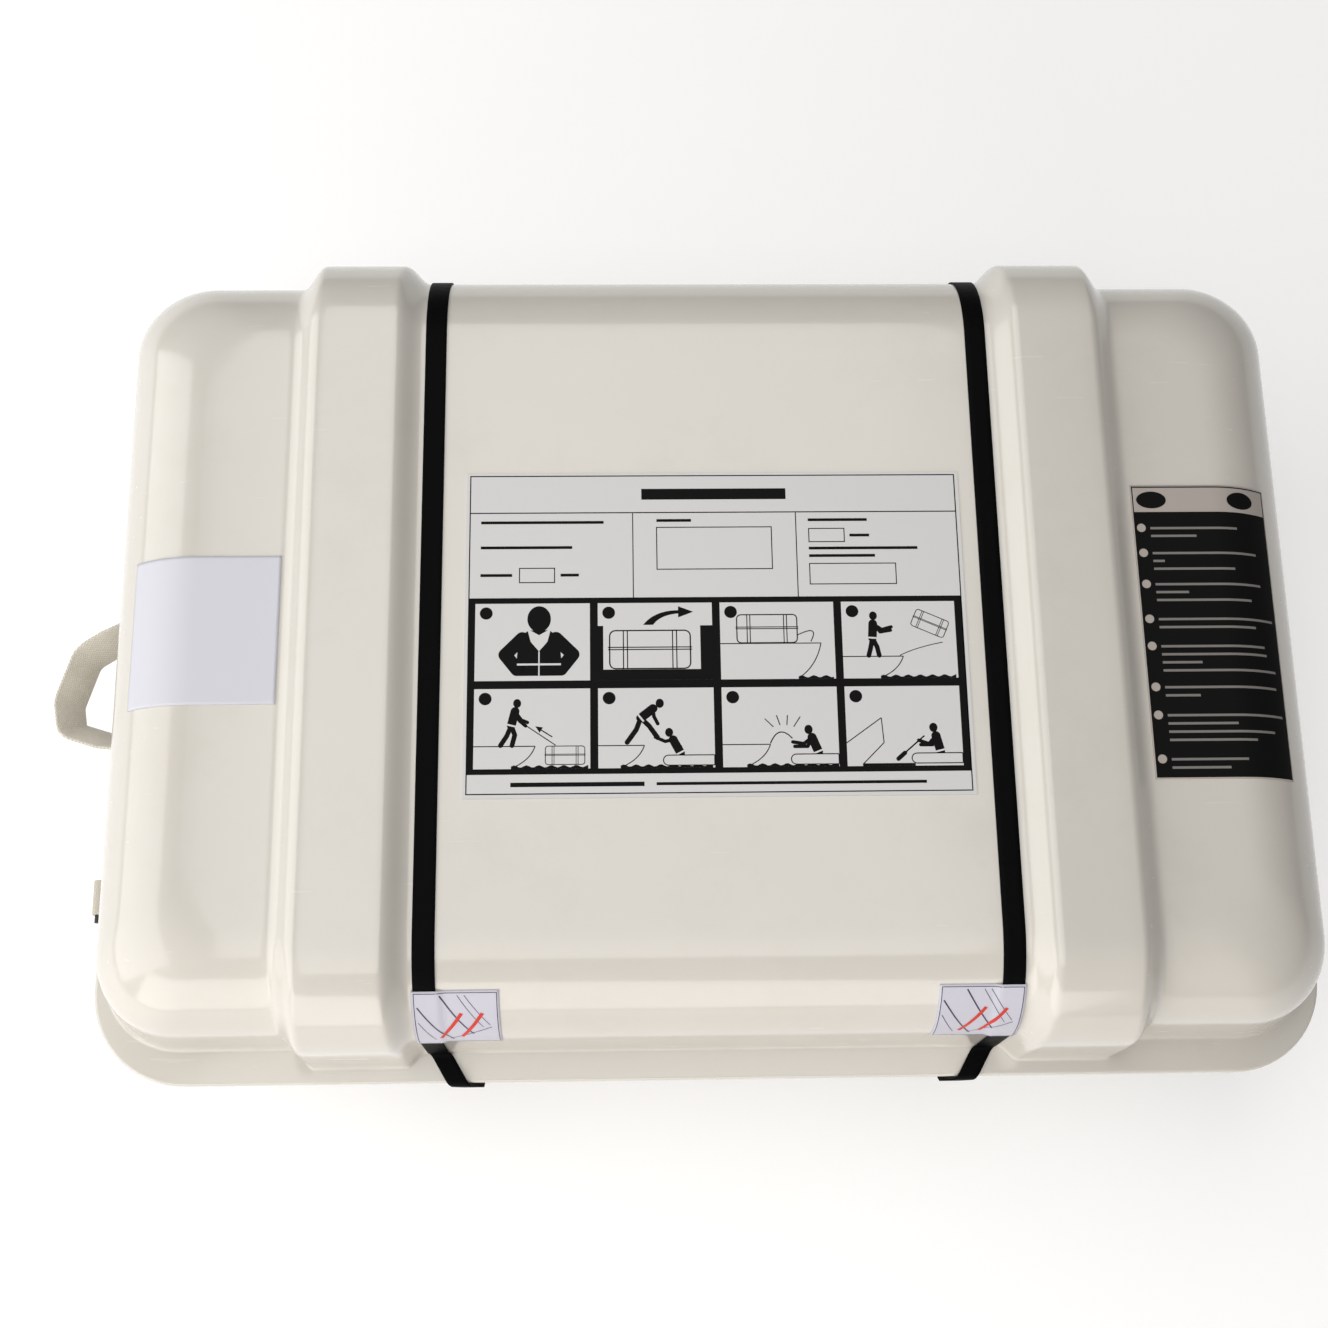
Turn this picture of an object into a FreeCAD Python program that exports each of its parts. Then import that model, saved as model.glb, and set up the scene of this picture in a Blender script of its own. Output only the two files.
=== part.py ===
import FreeCAD, Part
import math
import os
import re
import Sketcher
from FreeCAD import Placement, Rotation, Vector

# Hard container for a six-person liferaft, in millimetres.
# X runs along the length, Y across it, Z up, and z = 0 is the deck that the lower ribs stand on.

doc = FreeCAD.newDocument("LiferaftContainer")

# Driving sizes

SIZES = {
    # moulded shells
    "half_length": 375,
    "half_width": 246.5,
    "end_inset": 3,
    "end_fall": 2,
    "upper_rise": 104,
    "lower_rise": 121,
    "side_draft": 4.5,
    "end_draft": 9.3,
    "edge_radius": 58,
    "corner_radius": 48,
    "corner_fall": 16,
    "shell_wall": 3,
    # ribs that pass over the shells
    "rib_centre": 216.5,
    "rib_proud": 9,
    "rib_flat_half": 22.5,
    "rib_flare": 5,
    "rib_flank_inner": 18,
    "rib_flank_outer": 19,
    # rim where the shells meet
    "flange_end": 7,
    "flange_side": 18.5,
    "rim_corner": 58,
    "rim_thick": 4,
    "rim_bevel": 1.6,
    "lip_wall": 3,
    "lip_drop": 9,
    "lip_gap": 0.5,
    "gasket_thick": 2,
    "gasket_wide": 6,
    "gasket_margin": 0.5,
    # closing bands and the seals on them
    "band_lane": 168.5,
    "band_lower_lane": 148,
    "band_wide": 13,
    "band_thick": 0.8,
    "band_gap": 0.3,
    "band_bend": 4,
    "band_turn": 4.6,
    "band_bulge": 1.4,
    "band_lap": 0.1,
    "lap_low": 14,
    "lap_high": 46,
    "seal_low": 17,
    "seal_long": 26,
    "seal_wall": 0.8,
    # labels
    "label_thick": 0.4,
    "label_gap": 0.1,
    "plate_long": 300,
    "plate_wide": 201,
    "plate_x": 2,
    "plate_y": -8.5,
    "end_label_inset": 26.5,
    "end_label_long": 90,
    "end_label_wide": 92,
    "end_label_y": -5,
    "text_label_inset": 30.5,
    "text_label_long": 86,
    "text_label_wide": 184,
    "text_label_y": -8.5,
    "band_label_inset": 17.5,
    "band_label_long": 50,
    "band_label_low": 50,
    "band_label_high": 94,
    # carrying handle and its rivets
    "handle_wide": 25,
    "handle_thick": 2.2,
    "handle_z": 108,
    "handle_y": -4,
    "handle_half_span": 44,
    "handle_reach": 48,
    "handle_crown_y": -12,
    "handle_upper_out": 38,
    "handle_upper_y": 20,
    "handle_lower_out": 45,
    "handle_lower_y": -30,
    "handle_lean": 34,
    "handle_tab": 36,
    "rivet_radius": 2.4,
    "rivet_head": 5,
    "rivet_head_thick": 1.6,
    "rivet_clearance": 0.2,
    "rivet_first": 14,
    "rivet_pitch": 14,
    "plate_thick": 1.5,
    # outlet of the painter line
    "outlet_y": -146,
    "outlet_z": 116,
    "outlet_wide": 28,
    "outlet_high": 11,
    "outlet_lap": 3,
    "outlet_lap_thick": 2,
    "tail_wide": 22,
    "tail_thick": 1.5,
    "tail_gap": 0.3,
    "toggle_radius": 3,
    "toggle_long": 27,
    "toggle_reach": 16,
    # packed contents
    "fit_gap": 0.3,
    "pad_thick": 10,
    "pad_end_room": 215,
    "pad_side_room": 96.5,
    "pack_end_room": 78,
    "pack_side_room": 21.5,
    "pack_round": 36,
    "cylinder_radius": 62,
    "cylinder_long": 260,
    "cylinder_room": 143,
    "neck_radius": 16,
    "neck_long": 22,
    "saddle_thick": 9,
    "saddle_wide": 50,
    "saddle_half_long": 46,
    "saddle_high": 40,
    "saddle_spacing": 150,
    "valve_long": 34,
    "valve_half": 20,
    "boss_radius": 8,
    "boss_reach": 30,
    "hose_radius": 6,
    "kit_long": 104,
    "kit_wide": 240,
    "kit_high": 42,
    "kit_round": 14,
    "bag_long": 42,
    "bag_wide": 150,
    "bag_high": 90,
    "bag_round": 12,
    "bag_y": -130,
    "plug_radius": 6,
    "plug_head": 9,
    "plug_head_thick": 1.5,
    "plug_x": 120,
    "plug_y": 166,
}

sheet = doc.addObject("Spreadsheet::Sheet", "Sizes")
for row, (alias, size) in enumerate(SIZES.items(), start=1):
    sheet.set("A%d" % row, alias)
    sheet.set("B%d" % row, str(size))
    sheet.setAlias("B%d" % row, alias)
doc.recompute()


def cells(expression):
    """Writes each driving size in an expression as its cell of the sheet."""
    return re.sub("[a-z_]+", lambda word: "Sizes." * (word[0] in SIZES) + word[0], expression)


def value(expression):
    """The number that an expression of the driving sizes gives."""
    return float(sheet.evalExpression(cells(expression)))


def bind(thing, **expressions):
    """Binds properties of an object to expressions of the driving sizes."""
    for path, expression in expressions.items():
        thing.setExpression(path.replace("__", "."), cells(expression))
    return thing


def place(thing, x="0", y="0", z="0"):
    """Binds the place of an object to expressions."""
    return bind(thing, Placement__Base__x=x, Placement__Base__y=y, Placement__Base__z=z)


# Levels, all from the deck up

LOWER_FACE = "lower_rise + rib_proud"
GASKET_FACE = "lower_rise + rib_proud + rim_thick"
UPPER_UNDER = "lower_rise + rib_proud + rim_thick + gasket_thick"
CREASE = "lower_rise + rib_proud + 2 * rim_thick + gasket_thick"


# Sketches that the moulded forms are made from

def dimension(sketch, name, index, expression):
    sketch.renameConstraint(index, name)
    sketch.setExpression("Constraints." + name, cells(expression))


def rounded_rectangle(name, half_x, half_y, radius, z="0", x="0", y="0"):
    """A level sketch of a rectangle with round corners about its own origin."""
    a, b, r = value(half_x), value(half_y), value(radius)
    sketch = doc.addObject("Sketcher::SketchObject", name)
    corners = ((a - r, b - r, 0), (r - a, b - r, 90), (r - a, r - b, 180), (a - r, r - b, 270))
    for cx, cy, turn in corners:
        circle = Part.Circle(Vector(cx, cy, 0), Vector(0, 0, 1), r)
        sketch.addGeometry(Part.ArcOfCircle(circle, math.radians(turn), math.radians(turn + 90)), False)
    for here in range(4):
        start = sketch.getPoint(here, 2)
        finish = sketch.getPoint((here + 1) % 4, 1)
        sketch.addGeometry(Part.LineSegment(start, finish), False)
    for here in range(4):
        sketch.addConstraint(Sketcher.Constraint("Tangent", here, 2, 4 + here, 1))
        sketch.addConstraint(Sketcher.Constraint("Tangent", 4 + here, 2, (here + 1) % 4, 1))
    for here in (1, 2, 3):
        sketch.addConstraint(Sketcher.Constraint("Equal", 0, here))
    sketch.addConstraint(Sketcher.Constraint("Horizontal", 4))
    sketch.addConstraint(Sketcher.Constraint("Vertical", 5))
    sketch.addConstraint(Sketcher.Constraint("Symmetric", 0, 3, 2, 3, -1, 1))
    dimension(sketch, "radius", sketch.addConstraint(Sketcher.Constraint("Radius", 0, r)), radius)
    across = sketch.addConstraint(Sketcher.Constraint("DistanceX", -1, 1, 0, 3, a - r))
    dimension(sketch, "to_corner_x", across, "%s - (%s)" % (half_x, radius))
    along = sketch.addConstraint(Sketcher.Constraint("DistanceY", -1, 1, 0, 3, b - r))
    dimension(sketch, "to_corner_y", along, "%s - (%s)" % (half_y, radius))
    return place(sketch, x, y, z)


def arc_centre(half_width, rise):
    """How far out the centre of the rounded top edge stands in a drafted wall's section."""
    return ("(%s) - ((%s) - edge_radius * (1 - sin(side_draft))) * tan(side_draft)"
            " - edge_radius * cos(side_draft)") % (half_width, rise)


def wall_profile(name, x, half_width, rise, radius="edge_radius"):
    """An upright sketch across the container: drafted walls, rounded edges and a flat top."""
    b, top, r = value(half_width), value(rise), value(radius)
    lean = math.radians(SIZES["side_draft"])
    centre = b - (top - r * (1 - math.sin(lean))) * math.tan(lean) - r * math.cos(lean)
    shoulder = Vector(centre + r * math.cos(lean), top - r + r * math.sin(lean), 0)
    sketch = doc.addObject("Sketcher::SketchObject", name)
    mirror = Vector(-shoulder.x, shoulder.y, 0)
    sketch.addGeometry(Part.LineSegment(Vector(b, 0, 0), shoulder), False)
    right = Part.Circle(Vector(centre, top - r, 0), Vector(0, 0, 1), r)
    sketch.addGeometry(Part.ArcOfCircle(right, lean, math.pi / 2), False)
    sketch.addGeometry(Part.LineSegment(Vector(centre, top, 0), Vector(-centre, top, 0)), False)
    left = Part.Circle(Vector(-centre, top - r, 0), Vector(0, 0, 1), r)
    sketch.addGeometry(Part.ArcOfCircle(left, math.pi / 2, math.pi - lean), False)
    sketch.addGeometry(Part.LineSegment(mirror, Vector(-b, 0, 0)), False)
    sketch.addGeometry(Part.LineSegment(Vector(-b, 0, 0), Vector(b, 0, 0)), False)
    for here, after in ((0, 1), (1, 2), (2, 3), (3, 4)):
        sketch.addConstraint(Sketcher.Constraint("Tangent", here, 2, after, 1))
    sketch.addConstraint(Sketcher.Constraint("Coincident", 4, 2, 5, 1))
    sketch.addConstraint(Sketcher.Constraint("Coincident", 5, 2, 0, 1))
    sketch.addConstraint(Sketcher.Constraint("Equal", 1, 3))
    sketch.addConstraint(Sketcher.Constraint("Symmetric", 5, 1, 5, 2, -1, 1))
    sketch.addConstraint(Sketcher.Constraint("Horizontal", 1, 3, 3, 3))
    dimension(sketch, "radius", sketch.addConstraint(Sketcher.Constraint("Radius", 1, r)), radius)
    base = sketch.addConstraint(Sketcher.Constraint("DistanceX", -1, 1, 5, 2, b))
    dimension(sketch, "half_width", base, half_width)
    high = sketch.addConstraint(Sketcher.Constraint("DistanceY", -1, 1, 1, 3, top - r))
    dimension(sketch, "centre_height", high, "%s - (%s)" % (rise, radius))
    out = sketch.addConstraint(Sketcher.Constraint("DistanceX", -1, 1, 1, 3, centre))
    inset = "((%s) - (%s) * (1 - sin(side_draft))) * tan(side_draft)" % (rise, radius)
    dimension(sketch, "centre_out", out, "%s - %s - (%s) * cos(side_draft)" % (half_width, inset, radius))
    back = sketch.addConstraint(Sketcher.Constraint("DistanceX", 3, 3, -1, 1, centre))
    dimension(sketch, "centre_back", back, "%s - %s - (%s) * cos(side_draft)" % (half_width, inset, radius))
    sketch.Placement = Placement(Vector(), Rotation(Vector(0, 1, 0), Vector(0, 0, 1), Vector(1, 0, 0), "XYZ"))
    return bind(sketch, Placement__Base__x=x)


def loft(name, sections):
    """A solid with straight lines between sections that stand close enough to follow a curve."""
    thing = doc.addObject("Part::Loft", name)
    thing.Sections = sections
    thing.Solid = True
    thing.Ruled = True
    return thing


def fuse(name, *things):
    thing = doc.addObject("Part::MultiFuse", name)
    thing.Shapes = list(things)
    return thing


def cut(name, base, tool):
    thing = doc.addObject("Part::Cut", name)
    thing.Base = base
    thing.Tool = tool
    return thing


def common(name, *things):
    thing = doc.addObject("Part::MultiCommon", name)
    thing.Shapes = list(things)
    return thing


def extrude(name, sketch, direction, length, back="0"):
    thing = doc.addObject("Part::Extrusion", name)
    thing.Base = sketch
    thing.DirMode = "Custom"
    thing.Dir = direction
    thing.Solid = True
    return bind(thing, LengthFwd=length, LengthRev=back)


def box(name, x, y, z, length, width, height):
    thing = doc.addObject("Part::Box", name)
    bind(thing, Length=length, Width=width, Height=height)
    return place(thing, x, y, z)


def chamfer(name, base, bevel, lowest=None):
    """Cuts back the edges of a base, all of them or only those that stand at least so high."""
    doc.recompute()
    thing = doc.addObject("Part::Chamfer", name)
    thing.Base = base
    size = value(bevel)
    thing.Edges = [(n, size, size) for n, edge in enumerate(base.Shape.Edges, start=1)
                   if lowest is None or edge.BoundBox.ZMin > lowest]
    return thing


# Moulded forms, each standing on its own base plane with its crown upward

# Sections round the crown's edge and down a rib's flank, seen outside and hidden inside
SEEN = (6, 4)
HIDDEN = (3, 2)

# How far past its flank, as a share of it, a rib's foot ends under the wall's surface
FOOT = 1.15


def end_form(tag, rise, skin, steps=SEEN):
    """The long drafted body with rounded corners, seen beyond the ribs. skin is how far it is shrunk."""
    radius = "(edge_radius - (%s))" % skin
    top = "((%s) - end_fall - (%s))" % (rise, skin)
    length = "(half_length - (%s))" % skin
    width = "(half_width - end_inset - (%s))" % skin
    start = "(%s - %s * (1 - sin(end_draft)))" % (top, radius)
    levels = [rounded_rectangle(tag + "_base", length, width, "corner_radius - (%s) / 2" % skin)]
    for n in range(steps[0] + 1):
        angle = SIZES["end_draft"] + (90 - SIZES["end_draft"]) * n / steps[0]
        height = "%s - %s * (1 - sin(%g))" % (top, radius, angle)
        end_in = "%s * tan(end_draft) + %s * (cos(end_draft) - cos(%g))" % (start, radius, angle)
        side_in = ("%s * tan(side_draft) + %s * (cos(end_draft) - cos(%g))" % (start, radius, angle))
        fall = "corner_fall * (cos(end_draft) - cos(%g))" % angle
        levels.append(rounded_rectangle(
            "%s_level_%d" % (tag, n), "%s - (%s)" % (length, end_in), "%s - (%s)" % (width, side_in),
            "corner_radius - (%s) / 2 - %s" % (skin, fall), z=height))
    return loft(tag + "_body", levels)


def rib_form(tag, rise, skin, steps):
    """One rib: a raised band with soft flanks that runs up a wall, over the top and down the other."""
    shares = [n / steps[1] for n in range(steps[1] + 1)] + [FOOT]
    stations = [("-rib_flat_half - %g * rib_flank_outer" % share, share, "rib_flank_outer", "end_inset", "end_fall")
                for share in reversed(shares)]
    stations += [("rib_flat_half + %g * rib_flank_inner" % share, share, "rib_flank_inner", "0", "0")
                 for share in shares]
    sections = []
    for n, (x, share, flank, side_foot, top_foot) in enumerate(stations):
        grow = []
        for foot, lag in ((side_foot, value("rib_flare / " + flank)), (top_foot, 0.0)):
            if share == FOOT:
                grow.append("-(%s) - rib_proud / 8" % foot)
            else:
                keep = (1 + math.cos(math.pi * max(share - lag, 0.0) / (1 - lag))) / 2
                grow.append("-(%s) + (rib_proud + (%s)) * %.4f" % (foot, foot, keep))
        sections.append(wall_profile(
            "%s_section_%d" % (tag, n), "-rib_centre + (%s)" % x,
            "half_width - (%s) + (%s)" % (skin, grow[0]), "(%s) - (%s) + (%s)" % (rise, skin, grow[1]),
            "edge_radius - (%s)" % skin))
    return loft(tag + "_rib", sections)


def mirrored(name, source):
    thing = doc.addObject("Part::Mirroring", name)
    thing.Source = source
    thing.Normal = Vector(1, 0, 0)
    return thing


def moulded_form(tag, rise, skin, steps):
    """Body, middle and both ribs of one half, joined."""
    body = end_form(tag, rise, skin, steps)
    profile = wall_profile(tag + "_middle_profile", "-rib_centre", "half_width - (%s)" % skin,
                           "(%s) - (%s)" % (rise, skin), "edge_radius - (%s)" % skin)
    middle = extrude(tag + "_middle", profile, Vector(1, 0, 0), "2 * rib_centre")
    rib = rib_form(tag, rise, skin, steps)
    other = mirrored(tag + "_other_rib", rib)
    return fuse(tag + "_form", body, middle, rib, other)


def shell(name, outer, inner, lip):
    """One half of the case, crown upward: the moulded form, its rim and its lip, hollowed out."""
    plate_sketch = rounded_rectangle(name + "_rim_outline", *RIM[lip], z="-rim_thick")
    plate = extrude(name + "_rim", plate_sketch, UP, "rim_thick")
    if lip:
        plate = chamfer(name + "_soft_rim", plate, "rim_bevel", -0.01)
    solids = [outer, plate]
    if lip:
        lip_outer = rounded_rectangle(name + "_lip_outline", *RIM[True], z="-rim_thick - lip_drop")
        lip_inner = rounded_rectangle(name + "_lip_hollow", *LIP_HOLLOW, z="-rim_thick - lip_drop")
        ring = cut(name + "_lip", extrude(name + "_lip_block", lip_outer, UP, "lip_drop + rim_thick / 2"),
                   extrude(name + "_lip_space", lip_inner, UP, "lip_drop + rim_thick"))
        solids.append(ring)
    throat_sketch = rounded_rectangle(
        name + "_throat_outline", "half_length - shell_wall", "half_width - end_inset - shell_wall",
        "corner_radius - shell_wall / 2", z="-2 * rim_thick")
    throat = extrude(name + "_throat", throat_sketch, UP, "3 * rim_thick")
    return cut(name, fuse(name + "_skin", *solids), fuse(name + "_hollow", inner, throat))


UP = Vector(0, 0, 1)
RIM_LENGTH = "half_length + flange_end"
RIM_WIDTH = "half_width + flange_side"
LIP_HOLLOW = (RIM_LENGTH + " - lip_wall", RIM_WIDTH + " - lip_wall", "rim_corner - lip_wall")
RIM = {
    True: (RIM_LENGTH, RIM_WIDTH, "rim_corner"),
    False: tuple(size + " - lip_gap" for size in LIP_HOLLOW),
}


def half_turn(thing, height):
    """Turns a half over about X, so that its crown points down from the given height."""
    thing.Placement = Placement(Vector(0, 0, value(height)), Rotation(Vector(1, 0, 0), 180))
    return bind(thing, Placement__Base__z=height)


# The two shells and the gasket between their rims

upper_shell = shell("upper_shell", moulded_form("upper_outer", "upper_rise", "0", SEEN),
                    moulded_form("upper_inner", "upper_rise", "shell_wall", HIDDEN), True)
place(upper_shell, z=CREASE)
lower_blank = shell("lower_blank", moulded_form("lower_outer", "lower_rise", "0", SEEN),
                    moulded_form("lower_inner", "lower_rise", "shell_wall", HIDDEN), False)
half_turn(lower_blank, LOWER_FACE)

GASKET = tuple(size + " - lip_gap - gasket_margin" for size in LIP_HOLLOW)
gasket_outer = rounded_rectangle("gasket_outline", *GASKET, z=GASKET_FACE)
gasket_inner = rounded_rectangle("gasket_hollow", *(size + " - gasket_wide" for size in GASKET), z=GASKET_FACE)
rim_gasket = cut("rim_gasket", extrude("gasket_block", gasket_outer, UP, "gasket_thick"),
                 extrude("gasket_space", gasket_inner, UP, "gasket_thick"))


# Flat strips, built from cross-sections along a path

def feature(name, shape):
    thing = doc.addObject("Part::Feature", name)
    thing.Shape = shape
    return thing


def strip_sections(stations, wide, thick, across=None):
    """Closed corner lists of a strip's sections, from its stations: a point and the way its face looks."""
    sections = []
    last = len(stations) - 1
    for n, (point, face) in enumerate(stations):
        before = stations[max(n - 1, 0)][0]
        after = stations[min(n + 1, last)][0]
        side = across or (after - before).cross(face).normalize()
        sections.append([point + side * (a * wide / 2) + face * (b * thick / 2)
                         for a, b in ((-1, -1), (1, -1), (1, 1), (-1, 1), (-1, -1))])
    return sections


def facing_out(solid):
    return solid if solid.Volume > 0 else solid.reversed()


def strip(name, stations, wide, thick, across=None):
    """A flat strip with straight lines between its sections."""
    sections = strip_sections(stations, wide, thick, across)
    return feature(name, facing_out(Part.makeLoft([Part.makePolygon(s) for s in sections], True, True)))


def twisted_strip(name, stations, wide, thick):
    """A strip that twists as it goes, each of its four sides made of flat triangles."""
    sections = strip_sections(stations, wide, thick)
    corners = [sections[0][:4], sections[-1][:4][::-1]]
    for here, after in zip(sections, sections[1:]):
        for n in range(4):
            corners.append([here[n], after[n], after[n + 1]])
            corners.append([here[n], after[n + 1], here[n + 1]])
    faces = [Part.Face(Part.makePolygon(face + face[:1])) for face in corners]
    return feature(name, facing_out(Part.makeSolid(Part.makeShell(faces))))


def look(angle):
    """A direction in the upright plane across the container, from outward at 0 to up at 90 degrees."""
    return Vector(0, math.cos(math.radians(angle)), math.sin(math.radians(angle)))


def turn(centre, radius, start, finish, steps):
    """Stations round an arc across the container, whose faces look away from its centre."""
    angles = [start + (finish - start) * n / steps for n in range(steps + 1)]
    return [(centre + look(angle) * radius, look(angle)) for angle in angles]


def hollow_turn(centre, radius, start, finish, steps):
    """Stations round a hollow bend, whose faces look towards its centre."""
    angles = [start + (finish - start) * n / steps for n in range(steps + 1)]
    return [(centre - look(angle) * radius, look(angle)) for angle in angles]


BAND_OFF = value("band_gap + band_thick / 2")
UPPER_ARC = Vector(0, value(arc_centre("half_width", "upper_rise")), value(CREASE + " + upper_rise - edge_radius"))
LOWER_ARC = Vector(0, value(arc_centre("half_width", "lower_rise")), value("rib_proud + edge_radius"))


def half_band():
    """Stations of a band on the +Y side, from the middle of the top to the middle of the bottom."""
    draft = value("side_draft")
    crease = value(CREASE)
    edge = value("edge_radius") + BAND_OFF
    bend = value("band_bend")
    outmost = value("band_bulge") + BAND_OFF
    rim_turn = value("band_turn")
    rim = Vector(0, value(RIM_WIDTH) + outmost - rim_turn, crease + outmost - rim_turn)
    lip_z = value(UPPER_UNDER + " - lip_drop")
    wall_y = value("half_width") + BAND_OFF
    top = [(Vector(0, 0, value(CREASE + " + upper_rise")) + UP * BAND_OFF, UP)]
    top += turn(UPPER_ARC, edge, 90, draft, 9)
    foot = hollow_turn(Vector(0, wall_y + bend, crease + BAND_OFF + bend), bend, draft, 90, 4)
    over_rim = turn(rim, rim_turn, 90, 0, 5)
    lip_corner = Vector(0, value(RIM_WIDTH) + outmost, lip_z)
    reach = lip_corner - LOWER_ARC
    tangent = math.degrees(math.atan2(reach.z, reach.y) - math.acos(edge / reach.Length))
    below = [(lip_corner + look(180 + tangent / 2) * 0.01, look(tangent / 2))]
    bottom = turn(LOWER_ARC, edge, tangent, -90, 8)
    bottom.append((Vector(0, 0, value("rib_proud")) - UP * BAND_OFF, UP * -1))
    slanting = foot + over_rim + below
    start, finish = value("band_lane"), value("band_lower_lane")
    run = [0.0]
    for (here, _), (after, _) in zip(slanting, slanting[1:]):
        run.append(run[-1] + (after - here).Length)
    slanted = [(point + Vector(start + (finish - start) * done / run[-1], 0, 0), face)
               for (point, face), done in zip(slanting, run)]
    shift = Vector(start, 0, 0)
    low_shift = Vector(finish, 0, 0)
    return ([(point + shift, face) for point, face in top] + slanted
            + [(point + low_shift, face) for point, face in bottom])


def flipped(stations, across, along):
    """The same stations mirrored across Y or along X."""
    def flip(v):
        return Vector(v.x * along, v.y * across, v.z)
    return [(flip(point), flip(face)) for point, face in stations]


def wall_point(height, off):
    """A point off the +Y wall of the upper shell, at a height above the crease."""
    lean = value("side_draft")
    out = value("half_width") - height * math.tan(math.radians(lean))
    return Vector(0, out, value(CREASE) + height) + look(lean) * off


def band(name, along):
    """A band all round, whose ends lap on the upper shell's wall on the +Y side."""
    near = half_band()
    lean = value("side_draft")
    lane = Vector(value("band_lane"), 0, 0)
    lapped_off = BAND_OFF + value("band_thick + band_lap")
    start = [(wall_point(value("lap_low"), BAND_OFF) + lane, look(lean))]
    crown = [station for station in near if station[0].z > value(CREASE + " + lap_high")]
    round_rim = [station for station in near if station[0].z < value(CREASE + " + lap_low") - 2]
    lap = [(wall_point(value("lap_low") - 1, lapped_off) + lane, look(lean)),
           (wall_point(value("lap_high") - 4, lapped_off) + lane, look(lean))]
    path = start + list(reversed(crown)) + flipped(near[1:-1], -1, 1) + list(reversed(round_rim)) + lap
    return strip(name, flipped(path, 1, along), value("band_wide"), value("band_thick"), Vector(1, 0, 0))


left_band = band("left_band", -1)
right_band = band("right_band", 1)


def pair(name, make):
    """Two like solids in one node."""
    return feature(name, Part.makeCompound([make(-1), make(1)]))


def seal(along):
    """A pressed seal over the lapped ends: a channel whose open side faces the wall."""
    wall = value("seal_wall")
    inside = value("band_wide + 0.6")
    deep = value("2 * band_thick + band_gap + band_lap + 0.15")
    long = value("seal_long")
    block = Part.makeBox(inside + 2 * wall, deep + wall - 0.2, long, Vector(-inside / 2 - wall, 0.2, 0))
    space = Part.makeBox(inside, deep, long, Vector(-inside / 2, 0, 0))
    channel = block.cut(space)
    foot = wall_point(value("seal_low"), 0)
    channel.Placement = Placement(
        Vector(along * value("band_lane"), foot.y, foot.z), Rotation(Vector(1, 0, 0), value("side_draft")))
    return channel


band_seals = pair("band_seals", seal)


# Labels: thin sheets on the surfaces that carry them

instruction_label = box("instruction_label", "plate_x - plate_long / 2", "plate_y - plate_wide / 2",
                        CREASE + " + upper_rise + label_gap", "plate_long", "plate_wide", "label_thick")
label_front = end_form("label_front", "upper_rise", "-label_gap - label_thick")
label_back = end_form("label_back", "upper_rise", "-label_gap")
label_skin = cut("label_skin", label_front, label_back)
place(label_skin, z=CREASE)


def end_label(name, low_x, y, long, wide):
    """The part of the sheet over the end of the case that a label covers, from its lowest X on."""
    outline = box(name + "_outline", low_x, "%s - %s / 2" % (y, wide),
                  CREASE + " + upper_rise / 2", long, wide, "upper_rise")
    return common(name, label_skin, outline)


left_end_label = end_label("left_end_label", "end_label_inset - half_length", "end_label_y",
                           "end_label_long", "end_label_wide")
right_end_label = end_label("right_end_label", "half_length - text_label_inset - text_label_long", "text_label_y",
                            "text_label_long", "text_label_wide")


def band_label(name, along):
    """A square sheet stuck over a band where it turns down the front wall."""
    off = value("band_gap + band_thick + label_gap + label_thick / 2")
    radius = value("edge_radius")
    ends = []
    for height in ("band_label_low", "band_label_high"):
        ends.append(math.degrees(math.asin(value("(%s - upper_rise + edge_radius) / edge_radius" % height))))
    stations = flipped(turn(UPPER_ARC, radius + off, ends[0], ends[1], 8), -1, 1)
    middle = Vector(along * value("band_lane - band_label_inset"), 0, 0)
    return strip(name, [(point + middle, face) for point, face in stations],
                 value("band_label_long"), value("label_thick"))


left_band_label = band_label("left_band_label", -1)
right_band_label = band_label("right_band_label", 1)


# Carrying handle: webbing riveted to the left end of the lower shell

def end_wall(height, off):
    """A point off the left end wall of the lower shell, at a height above the deck, on y = 0."""
    drop = value(LOWER_FACE) - height
    lean = math.radians(value("end_draft"))
    out = value("half_length") - drop * math.tan(lean)
    return Vector(-out - off * math.cos(lean), 0, height - off * math.sin(lean))


def softened(corners):
    """A path with each of its corners cut off, so that it bends gently."""
    path = [corners[0]]
    for here, after in zip(corners, corners[1:]):
        path += [here + (after - here) * 0.25, here + (after - here) * 0.75]
    return path + [corners[-1]]


def handle_stations():
    """Stations of the webbing: two tabs flat on the wall and a loop that leans out at its top edge."""
    span, tab = value("handle_half_span"), value("handle_tab")
    reach = value("handle_reach")
    corners = (
        (0, span + tab), (0, span + 4), (-1, span),
        (-value("handle_upper_out"), value("handle_upper_y")),
        (-reach, value("handle_crown_y")),
        (-value("handle_lower_out"), value("handle_lower_y")),
        (-1, -span), (0, -span - 4), (0, -span - tab),
    )
    middle = end_wall(value("handle_z"), value("band_gap + handle_thick / 2")) + Vector(0, value("handle_y"), 0)
    path = softened([Vector(x, y, 0) for x, y in corners])
    last = len(path) - 1
    stations = []
    for n, point in enumerate(path):
        level = (path[min(n + 1, last)] - path[max(n - 1, 0)]).cross(UP).normalize()
        free = min(-2 * point.x / reach, 1)
        lean = math.radians(value("end_draft") * (1 - free) + value("handle_lean") * free)
        stations.append((middle + point, level * math.cos(lean) - UP * math.sin(lean)))
    return stations


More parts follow.
